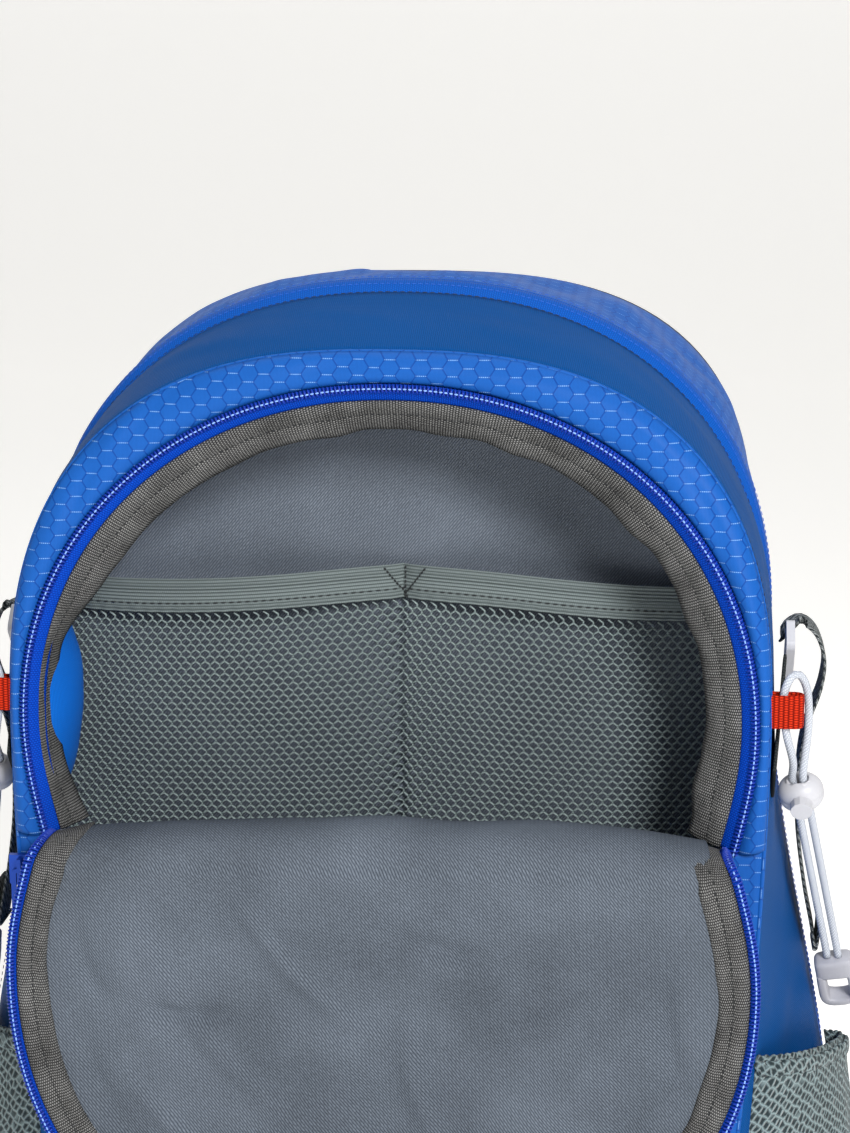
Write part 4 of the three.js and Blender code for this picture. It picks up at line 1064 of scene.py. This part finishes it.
def make_main_zip():
    """The closed main zip: two tapes and a coil between them, all round the arch; the halves part at the coil."""
    edge = arch(REAR_ZIP_OUTLINE, 2 * AROUND)
    depth = np.full(len(edge), 1.0)
    for label, body, y0, y1, rises, node in (
        ("front", "front", -20.2, -8.2, (-0.2, 1.4, 2.8, 3.8, 4.3, 4.4), "main_zip_front"),
        ("rear", "rear", -7.8, 4.8, (4.4, 4.4, 4.1, 3.6, 2.8, 1.6), "main_zip_rear"),
    ):
        line = edge if body == "rear" else arch(ZIP_OUTLINE, 2 * AROUND)
        swelling = 0.2 + 0.8 * np.clip((line[:, 1] - 290) / 110, 0, 1)
        rows = [
            lifted(inset(line, 0.4 - rise * swelling), depth * y)
            for y, rise in zip(np.linspace(y0, y1, 6), rises)
        ]
        done(sheet(f"main_zip_tape_{label}", np.array(rows), M["main tape"], 0.9), body, "zip_blue", node)
        y = -10.0 if body == "front" else -6.0
        path = lifted(inset(line, 2.4), depth * y)
        _, side, _ = frames_along(path, (0, 1, 0))
        done(coil(f"main_zip_coil_{label}", path, side, M["coil"], 1.6, 3.0, 1.6), body, "zip_blue")
        shift, lift = (-6.6, 3.0) if body == "front" else (6.6, 4.3)
        line = lifted(inset(line, 0.15 - lift * swelling), depth * (ZIP_Y + shift))
        row = stitches(f"main_zip_stitches_{label}", line, unit(path - [0, 0, 250]), M["blue thread"])
        done(row, body, "zip_blue")


# ---------- sides ----------


def mirrored(path, sign):
    return [(sign * x, y, z) for x, y, z in path]


STRAP_ROUTE = [(151.2, -85, 283), (152.8, -71, 295.3), (154.4, -57, 307.6), (155.9, -43.7, 319.3)]
TAIL_ROUTE = [
    (158.1, -30.6, 330.9), (160.2, -27, 333.8), (164.5, -25.5, 334.4), (169.5, -26.5, 329.5),
    (172.4, -28, 320), (171.2, -29, 309), (167.5, -28, 297), (164.5, -26, 284), (163.5, -24, 268),
    (164.2, -22.5, 245), (167.4, -21.5, 222), (170.8, -21, 205), (172.4, -20.8, 196),
]
LOCK_PLACE = np.array([162.8, -70, 275.5])
HOOK_PLACE = np.array([180.2, -29, 191.2])
SPREAD = 2.3
DOWN_CORD = (HOOK_PLACE - LOCK_PLACE) / np.linalg.norm(HOOK_PLACE - LOCK_PLACE)


def on_cord(distance, aside=0.0):
    return tuple(LOCK_PLACE + DOWN_CORD * distance + [aside, 0, 0])


CORD_ROUTE = [
    on_cord(95, -SPREAD), on_cord(62, -SPREAD), on_cord(30, -SPREAD), on_cord(0, -SPREAD), on_cord(-8, -SPREAD),
    (158.9, -80, 291), (155.8, -87, 304), (154.2, -88, 314), (154.4, -88, 321), (156.8, -87.6, 327),
    (160.6, -84, 327), (163.8, -80, 319), (164.6, -77, 304), on_cord(-10, SPREAD),
    on_cord(0, SPREAD), on_cord(30, SPREAD), on_cord(62, SPREAD), on_cord(95, SPREAD),
]


def make_pole_cords(fittings):
    """Each pole cord: one tube along its route, from the hook over the red tab and back."""
    a = np.linspace(0, 2 * np.pi, 12, endpoint=False)
    thick = bpy.context.scene.daypack_sizes.cord
    circle = np.stack([np.cos(a), np.sin(a)], axis=1) * thick / MM / 2
    for side, sign in SIDES:
        path = smooth_path(mirrored(CORD_ROUTE, sign), 130)
        piece = loft(f"pole_cord_elastic_{side}", swept(path, (0.3, 1, 0.2), circle), M["cord"])
        done(piece, "front", "cord", f"pole_cord_{side}")


def band_of(name, points, across, width, thickness, material, body, slot, node, count=60):
    """Webbing along given points, with its two edges rounded."""
    path = smooth_path(points, count)
    rings = swept(path, across, section_box(width, thickness, 24, 4.0))
    return done(loft(name, rings, M[material]), body, slot, *([node] if node else []))


def make_side_straps():
    for side, sign in SIDES:
        band_of(
            f"compression_webbing_{side}", mirrored(STRAP_ROUTE, sign), (0, 0.66, -0.75), 20, 1.6, "webbing",
            "front", "webbing", f"compression_strap_{side}",
        )
        band_of(
            f"compression_tail_webbing_{side}", mirrored(TAIL_ROUTE, sign), (0, 0.95, 0), 20, 1.6, "chevron",
            "front", "webbing", f"compression_tail_{side}", 130,
        )
        turn = smooth_path(mirrored([(173.6, -20.8, 212), (173.9, -20.8, 203), (173.2, -20.6, 195.2), (171.6, -20.6, 194.8)], sign), 30)
        rings = swept(turn, (0, 0.95, 0), section_box(20.4, 1.5, 24, 4.0))
        done(loft(f"compression_tail_end_{side}", rings, M["chevron"]), "front", "webbing")


def make_pole_tabs():
    """The red tab: one length of webbing folded round the cord, sewn into the seam."""
    for side, sign in SIDES:
        a = np.linspace(-np.pi / 2, np.pi / 2, 14)
        bend = np.stack([9 + 3.0 * np.cos(a), 3.0 * np.sin(a)], axis=1)
        plan = resampled(np.concatenate([[[-3, -3.0]], bend, [[-3, 3.0]]]), 44)
        path = np.stack([sign * (149.6 + plan[:, 0]), -88 + plan[:, 1], np.full(44, 314.0)], axis=1)
        rings = swept(path, (0, 0, 1), section_box(13.4, 1.4, 24, 4.0))
        done(loft(f"pole_tab_webbing_{side}", rings, M["red webbing"]), "front", "red_webbing", f"pole_tab_{side}")


def cord_axes(sign):
    """The two unit vectors square to the cord's lower run: towards the side, and out to the front."""
    down = DOWN_CORD * [sign, 1, 1]
    wide = unit(np.array([1.0, 0, 0]) - down * down[0])
    return down, wide, np.cross(down, wide)


def make_cord_fittings():
    """The cord lock, a flattened ball with a parting seam and a bore, and the hook at the cord's end.

    The ball's radius at a share t of its length is sqrt(1 - |0.93 t| ** 2.4), less a Gaussian groove at t = 0.
    Returns the pieces of each side.
    """
    made = {}
    for side, sign in SIDES:
        down, wide, out = cord_axes(sign)
        centre = LOCK_PLACE * [sign, 1, 1]
        a = np.linspace(0, 2 * np.pi, 32, endpoint=False)
        c, s = np.cos(a)[:, None], np.sin(a)[:, None]
        bore = np.sign(c) * np.abs(c) ** 0.5 * 5.0 * wide + np.sign(s) * np.abs(s) ** 0.5 * 2.5 * out
        rings = []
        for t in np.linspace(-1, 1, 25):
            fat = np.sqrt(max(0.0, 1 - (abs(t) * 0.93) ** 2.4)) * (1 - 0.05 * math.exp(-((t / 0.07) ** 2)))
            rings.append(centre + down * t * 7.2 + (wide * 9.2 * c + out * 8.2 * s) * fat)
        inner = [centre + down * 7.2 * t + bore for t in (1, -1)]
        rings = np.array([inner[1], *rings, inner[0], inner[1]])
        ball = loft(f"cord_lock_ball_{side}", rings, M["pale plastic"])
        done(ball, "cord_lock_" + side, "white_plastic", f"cord_lock_{side}")

        top = (LOCK_PLACE + DOWN_CORD * 95.0) * [sign, 1, 1]
        rings = []
        for t, k in ((0, 0.80), (0.6, 0.92), (1.6, 0.99), (3, 1), (6, 1), (8.4, 1), (9, 0.98)):
            rings.append(top + down * t + section_box(16.4, 9.2, 36, 4.5) @ np.array([wide, out]) * k)
        head = loft(f"cord_hook_head_{side}", np.array(rings), M["hook plastic"])
        done(head, "front", "white_plastic", f"cord_hook_{side}")
        corners = [(-6.2, 8), (-6.4, 15), (-6.0, 21.6), (-3, 23.8), (3, 23.8), (6.0, 21.6), (6.4, 15), (6.2, 8)]
        route = smooth_path([top + wide * x + down * t for x, t in corners], 60)
        ring = loft(f"cord_hook_ring_{side}", swept(route, tuple(out), section_box(8.8, 4.0, 24, 4.0)), M["hook plastic"])
        done(ring, "front", "white_plastic")
        route = np.array([top + wide * -1.6 - out * (4.62 * sign) + down * t for t in np.linspace(0.6, 9.2, 20)])
        rings = swept(route, tuple(wide), section_box(0.5, 0.4, 10, 2.0))
        done(loft(f"cord_hook_parting_line_{side}", rings, M["webbing"]), "front", "white_plastic")
        made[side] = [ball, head, ring]
    return made


POCKET_PLAN = ((-84, 0), (-79, 9), (-66, 16), (-46, 17), (-32, 13), (-23, 8), (-20.5, 0))


def make_side_pockets():
    """Each side pocket: coarse knit that stands off the gusset, with a slanting, scalloped top edge."""
    plan = smooth_path([(y, out, 0) for y, out in POCKET_PLAN], 90)
    y, out = plan[:, 0][None], np.maximum(plan[:, 1], 0)[None]
    t = np.linspace(0, 1, 40)[:, None]
    share = np.clip(t / 0.03, 0, 1) ** 0.5
    top = 168 - 13 * (y + 84) / 63.5 + 0.9 * np.abs(np.sin(np.arange(90) * 0.9))[None]
    z = 66 + (top - 66) * np.maximum(0, t - 0.03) / 0.97
    wall = half_width(FRONT_OUTLINE, z) + (half_width(ZIP_OUTLINE, z) - half_width(FRONT_OUTLINE, z)) * (y + 88) / 68
    belly = 1.5 * np.sin(np.pi * t) * out / 17 + 0.8 * noise(y / 9, z / 14, 71) * out / 17
    gather = 1.3 * np.exp(-(((1 - t) / 0.05) ** 2))
    for side, sign in SIDES:
        x = sign * (wall + 2.5 + (out + belly) * share - gather * out / 17)
        grid = np.stack([x, np.broadcast_to(y, x.shape), z], axis=-1)
        grid = grid if sign > 0 else grid[:, ::-1]
        done(sheet(f"side_pocket_knit_{side}", grid, M["side knit"], 1.3), "front", "side_mesh", f"side_pocket_{side}")
        rim = grid[-3] + [sign * 0.5, 0, 0]
        rings = swept(rim, (0, 0, 1), section_box(6.5, 2.4, 20, 2.4))
        done(loft(f"side_pocket_edge_{side}", rings, M["side knit"]), "front", "side_mesh")


# ---------- back and harness ----------


def rounded(width, height, radius, count=96):
    """A rounded rectangle as (x, z) points: quarter circles joined by straight sides."""
    a = np.linspace(0, np.pi / 2, 12)
    quarter = np.stack([width / 2 - radius + radius * np.cos(a), height / 2 - radius + radius * np.sin(a)], 1)
    turned = [quarter, quarter[::-1] * [-1, 1], -quarter, quarter[::-1] * [1, -1]]
    loop = np.concatenate(turned)
    return resampled(np.concatenate([loop, loop[:1]]), count + 1)[:-1]


def make_back():
    """The padded back panel, its two long pads and the lumbar pad, which cloth pressure swells."""
    half = arch(BACK_PLATE, 181)[90:][::-1]
    w, z = np.maximum(half[:, 0], 2)[:, None], half[:, 1][:, None]
    s = np.linspace(-1, 1, 61)[None]
    soft = 0.5 * noise(s * 5, z / 30, 81) * (1 - s**6)
    x = w * s
    outer = np.stack([x, 92.4 + soft + 0 * x, z + 0 * x], -1)
    inner = np.stack([x, 84.2 + 0 * x, z + 0 * x], -1)[:, ::-1]
    panel = loft("back_panel_cloth", np.concatenate([outer, inner], axis=1), M["strap cloth"])
    done(panel, "rear", "back_fabric", "back_panel")
    pads = (("back_pad_left", -58, 257, 76, 286, 30, 13.0), ("back_pad_right", 58, 257, 76, 286, 30, 13.0), ("lumbar_pad", 0, 64, 204, 76, 32, 15.0))
    for node, x, z, width, height, radius, deep in pads:
        rings = []
        for share, step in ((0.02, 4), (0.1, 1), (0.25, 0), (0.7, 0), (0.9, 1.6), (1.0, 5)):
            loop = rounded(width - 2 * step, height - 2 * step, radius - step)
            rings.append(np.stack([x + loop[:, 0], np.full(len(loop), 93.6 + deep * share), z + loop[:, 1]], 1))
        pad = swell(loft(f"{node}_mesh", np.array(rings), M["air mesh"]))
        done(pad, "rear", "air_mesh", node)
        loop = rounded(width - 1, height - 1, radius)
        line = np.stack([x + loop[:, 0], np.full(len(loop), 94.6), z + loop[:, 1]], 1)
        line = np.concatenate([line, line[:1]])
        rings = swept(line, (0, 1, 0), section_box(2.4, 2.4, 10, 2.0))
        done(loft(f"{node}_piping", rings, M["webbing"]), "rear", "back_fabric")


SHOULDER_ROUTE = [
    (58, 102, 420), (60, 115, 436), (63, 135, 428), (67, 150, 395), (72, 156, 345),
    (79, 156, 290), (88, 150, 235), (98, 140, 190), (106, 130, 160),
]


def make_harness():
    """Shoulder straps with bound edges and a run of webbing, and every loose webbing of the harness."""
    for side, sign in SIDES:
        path = smooth_path(mirrored(SHOULDER_ROUTE, sign), 110)
        full = section_box(53, 11, 36, 3.0)
        taper = np.clip(np.minimum(np.arange(110), 109 - np.arange(110)) / 4, 0.45, 1)[:, None, None]
        strap = loft(f"shoulder_strap_foam_{side}", swept(path, (1, 0, 0), full * [1, 1] * np.concatenate([taper**0.3, taper], -1)), M["air mesh"])
        done(strap, "rear", "strap_fabric", f"shoulder_strap_{side}")
        _, lay, normal = frames_along(path, (1, 0, 0))
        out = normal * np.sign(normal[50, 1])
        for label, aside in (("inner", -25.2), ("outer", 25.2)):
            rings = swept(path + lay * aside, (1, 0, 0), section_box(5.5, 11.6, 20, 2.6))
            done(loft(f"shoulder_strap_binding_{label}_{side}", rings, M["strap cloth"]), "rear", "strap_fabric")
        rings = swept(path + out * 5.9, (1, 0, 0), section_box(20, 1.6, 24, 4.0))
        done(loft(f"shoulder_strap_ribbon_{side}", rings, M["webbing"]), "rear", "webbing")
        for aside in (-8.4, 8.4):
            row = stitches(f"shoulder_strap_stitches_{side}", path + out * 6.8 + lay * aside, out, M["thread"], 3.0, 2.1, 0.6)
            done(row, "rear", "webbing")
        low = mirrored([(113, 120, 132), (126, 108, 108), (138, 96.5, 86)], sign)
        band_of(f"shoulder_tail_{side}", low, (1, 0, 0), 25, 1.6, "webbing", "rear", "webbing", f"shoulder_webbing_{side}")
        reach, inner = (-34, -12) if sign < 0 else (38, 30)
        chest = [(sign * 64, 165, 316), (reach, 163.2, 316), (inner, 162.6, 316)]
        band_of(f"chest_webbing_{side}", chest, (0, 0, 1), 18, 1.6, "webbing", "sternum_strap", "webbing", f"sternum_webbing_{side}")
        inner = -14 if sign < 0 else 34
        waist = [(sign * 143, 96, 50), (sign * 122, 106, 50), (sign * 98, 113, 50), (inner, 116, 50)]
        band_of(f"waist_belt_{side}", waist, (0, 0, 1), 25, 1.6, "webbing", "rear", "webbing", f"waist_webbing_{side}")
    haul = [(-25, 103, 452), (-22, 103, 437), (0, 103, 424), (22, 103, 437), (25, 103, 452)]
    band_of("haul_loop_webbing", haul, (0, 1, 0), 12, 3.0, "webbing", "haul_loop", "webbing", "haul_loop")


def finish_cad_nodes():
    """Moulded and metal nodes keep their own shapes and take a procedural finish."""
    finishes = {"frame_sheet": "board", "main_zip_slider": "painted metal", "main_zip_pull": "painted metal"}
    finishes |= {"front_zip_slider": "painted metal", "front_zip_pull": "painted metal"}
    for side, _ in SIDES:
        finishes |= {f"{node}_{side}": "pale plastic" for node in ("compression_lock", "cord_lock_button")}
        finishes |= {f"{node}_{side}": "dark plastic" for node in ("ladderlock", "sternum_clip")}
    for name in ("sternum", "waist"):
        finishes |= {f"{name}_buckle_{half}": "dark plastic" for half in ("female", "male")}
    for node, finish in finishes.items():
        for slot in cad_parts[node].material_slots:
            slot.material = M[finish]


class DaypackLook(bpy.types.PropertyGroup):
    """Colours, light and view that a user would change."""

    hex_blue: bpy.props.FloatVectorProperty(
        name="Ripstop", description="Ground colour of the ripstop", subtype="COLOR", default=(0.011, 0.112, 0.46)
    )
    hex_line: bpy.props.FloatVectorProperty(
        name="Ripstop line", description="Colour of its dark threads", subtype="COLOR", default=(0.003, 0.045, 0.25)
    )
    # The glint is a painted highlight along the ripstop's level threads.
    hex_glint: bpy.props.FloatVectorProperty(
        name="Ripstop glint", description="Colour of its pale threads", subtype="COLOR", default=(0.26, 0.50, 0.88)
    )
    side_blue: bpy.props.FloatVectorProperty(
        name="Side cloth", description="Colour of the side cloth", subtype="COLOR", default=(0.002, 0.082, 0.30)
    )
    side_dark: bpy.props.FloatVectorProperty(
        name="Side groove", description="Colour of its grooves", subtype="COLOR", default=(0.001, 0.040, 0.17)
    )
    lining_grey: bpy.props.FloatVectorProperty(
        name="Lining", description="Colour of the lining", subtype="COLOR", default=(0.142, 0.166, 0.200)
    )
    binding_grey: bpy.props.FloatVectorProperty(
        name="Binding", description="Colour of the binding", subtype="COLOR", default=(0.27, 0.268, 0.262)
    )
    zip_blue: bpy.props.FloatVectorProperty(
        name="Zip", description="Colour of the zip tape", subtype="COLOR", default=(0.003, 0.078, 0.58)
    )
    ambient: bpy.props.FloatProperty(
        name="Ambient", description="Strength of the sky", min=0, default=0.27
    )
    key_power: bpy.props.FloatProperty(
        name="Key", description="Power of the key lamp", unit="POWER", default=36
    )
    lens: bpy.props.FloatProperty(
        name="Lens", description="Focal length in millimetres", subtype="DISTANCE_CAMERA", default=90.8, min=10
    )
    azimuth: bpy.props.FloatProperty(
        name="Azimuth", description="How far the camera stands to the right", unit="ROTATION", default=math.radians(5)
    )
    elevation: bpy.props.FloatProperty(
        name="Elevation", description="How far the camera stands above the level", unit="ROTATION", default=math.radians(13)
    )
    distance: bpy.props.FloatProperty(
        name="Distance", description="From the camera to its target", unit="LENGTH", default=1.1
    )
    target: bpy.props.FloatVectorProperty(
        name="Target", description="Where the camera looks", subtype="TRANSLATION", unit="LENGTH",
        default=(0.0154, -0.095, 0.370),
    )


class DaypackSizes(bpy.types.PropertyGroup):
    """Sizes of the soft goods that a user would change."""

    elastic: bpy.props.FloatProperty(
        name="Elastic", description="Height of the organiser's elastic edge", unit="LENGTH", default=0.0145
    )
    net_pitch: bpy.props.FloatProperty(
        name="Net pitch", description="Width of one cell of the organiser's net", unit="LENGTH", default=0.0041
    )
    net_step: bpy.props.FloatProperty(
        name="Net step", description="Height of one row of its cells", unit="LENGTH", default=0.00255
    )
    hexagon: bpy.props.FloatProperty(
        name="Hexagon", description="Width of one cell of the ripstop", unit="LENGTH", default=0.0060
    )
    cord: bpy.props.FloatProperty(
        name="Cord", description="Diameter of the elastic cord", unit="LENGTH", default=0.0032
    )


class DAYPACK_OT_stage(bpy.types.Operator):
    """Make the finishes, the pale floor, the lamps and the camera."""

    bl_idname = "daypack.stage"
    bl_label = "Stage and Finishes"

    def execute(self, context):
        make_materials(context.scene.daypack)
        make_stage(context.scene.daypack)
        return {"FINISHED"}


class DAYPACK_OT_cords(bpy.types.Operator):
    """Make the elastic cord of both sides, with its lock and its hook."""

    bl_idname = "daypack.cords"
    bl_label = "Pole Cords"

    def execute(self, context):
        make_pole_cords(make_cord_fittings())
        return {"FINISHED"}


class DAYPACK_OT_front_panel(bpy.types.Operator):
    """Make the front panel and the side cloth behind it."""

    bl_idname = "daypack.front_panel"
    bl_label = "Front Panel"

    def execute(self, context):
        make_front_panel()
        make_front_gusset()
        return {"FINISHED"}


class DAYPACK_OT_front_zip(bpy.types.Operator):
    """Make the front zip, its tape and the binding inside it."""

    bl_idname = "daypack.front_zip"
    bl_label = "Front Zip"

    def execute(self, context):
        make_front_zip()
        return {"FINISHED"}


class DAYPACK_OT_divider(bpy.types.Operator):
    """Make the lining wall and the compartment's floor."""

    bl_idname = "daypack.divider"
    bl_label = "Divider"

    def execute(self, context):
        make_divider()
        return {"FINISHED"}


class DAYPACK_OT_organiser(bpy.types.Operator):
    """Make the net pocket, its elastic edge and its seams."""

    bl_idname = "daypack.organiser"
    bl_label = "Organiser Pocket"

    def execute(self, context):
        make_organiser()
        return {"FINISHED"}


class DAYPACK_OT_flap(bpy.types.Operator):
    """Make the open flap, its lining, its binding and its fold."""

    bl_idname = "daypack.flap"
    bl_label = "Flap"

    def execute(self, context):
        make_flap()
        return {"FINISHED"}


class DAYPACK_OT_rear_shell(bpy.types.Operator):
    """Make the base tub and the rear side cloth."""

    bl_idname = "daypack.rear_shell"
    bl_label = "Rear Shell"

    def execute(self, context):
        make_rear_shell()
        return {"FINISHED"}


class DAYPACK_OT_main_zip(bpy.types.Operator):
    """Make the two tapes and the coil of the main zip."""

    bl_idname = "daypack.main_zip"
    bl_label = "Main Zip"

    def execute(self, context):
        make_main_zip()
        return {"FINISHED"}


class DAYPACK_OT_side_straps(bpy.types.Operator):
    """Make the compression straps with their tails."""

    bl_idname = "daypack.side_straps"
    bl_label = "Side Straps"

    def execute(self, context):
        make_side_straps()
        return {"FINISHED"}


class DAYPACK_OT_pole_tabs(bpy.types.Operator):
    """Make the red webbing tabs."""

    bl_idname = "daypack.pole_tabs"
    bl_label = "Pole Tabs"

    def execute(self, context):
        make_pole_tabs()
        return {"FINISHED"}


class DAYPACK_OT_side_pockets(bpy.types.Operator):
    """Make the net bottle pockets."""

    bl_idname = "daypack.side_pockets"
    bl_label = "Side Pockets"

    def execute(self, context):
        make_side_pockets()
        return {"FINISHED"}


class DAYPACK_OT_back(bpy.types.Operator):
    """Make the back panel and its pads."""

    bl_idname = "daypack.back"
    bl_label = "Back"

    def execute(self, context):
        make_back()
        return {"FINISHED"}


class DAYPACK_OT_harness(bpy.types.Operator):
    """Make the shoulder straps, the belts and the haul loop."""

    bl_idname = "daypack.harness"
    bl_label = "Harness"

    def execute(self, context):
        make_harness()
        return {"FINISHED"}


class DAYPACK_OT_fittings(bpy.types.Operator):
    """Give the moulded and metal fittings their finish."""

    bl_idname = "daypack.fittings"
    bl_label = "Fittings"

    def execute(self, context):
        finish_cad_nodes()
        return {"FINISHED"}


PIECES = (
    DAYPACK_OT_stage,
    DAYPACK_OT_cords,
    DAYPACK_OT_front_panel,
    DAYPACK_OT_front_zip,
    DAYPACK_OT_divider,
    DAYPACK_OT_organiser,
    DAYPACK_OT_flap,
    DAYPACK_OT_rear_shell,
    DAYPACK_OT_main_zip,
    DAYPACK_OT_side_straps,
    DAYPACK_OT_pole_tabs,
    DAYPACK_OT_side_pockets,
    DAYPACK_OT_back,
    DAYPACK_OT_harness,
    DAYPACK_OT_fittings,
)


class DAYPACK_PT_sidebar(bpy.types.Panel):
    """The daypack's pieces in the order that they are made, then its colours and sizes."""

    bl_label = "Daypack"
    bl_space_type = "VIEW_3D"
    bl_region_type = "UI"
    bl_category = "Daypack"

    def draw(self, context):
        for piece in PIECES:
            self.layout.operator(piece.bl_idname)
        for group in (context.scene.daypack, context.scene.daypack_sizes):
            box = self.layout.box()
            for name in group.__annotations__:
                box.prop(group, name)


CLASSES = (DaypackLook, DaypackSizes, *PIECES, DAYPACK_PT_sidebar)


def register():
    """Register every class and hang the two groups on the scene."""
    for kind in CLASSES:
        bpy.utils.register_class(kind)
    bpy.types.Scene.daypack = bpy.props.PointerProperty(type=DaypackLook)
    bpy.types.Scene.daypack_sizes = bpy.props.PointerProperty(type=DaypackSizes)


def unregister():
    """Undo register in the opposite order."""
    del bpy.types.Scene.daypack_sizes
    del bpy.types.Scene.daypack
    for kind in reversed(CLASSES):
        bpy.utils.unregister_class(kind)


def main():
    """Register the classes and make every piece in order."""
    register()
    for piece in PIECES:
        family, label = piece.bl_idname.split(".")
        getattr(getattr(bpy.ops, family), label)()


if __name__ == "__main__":
    main()
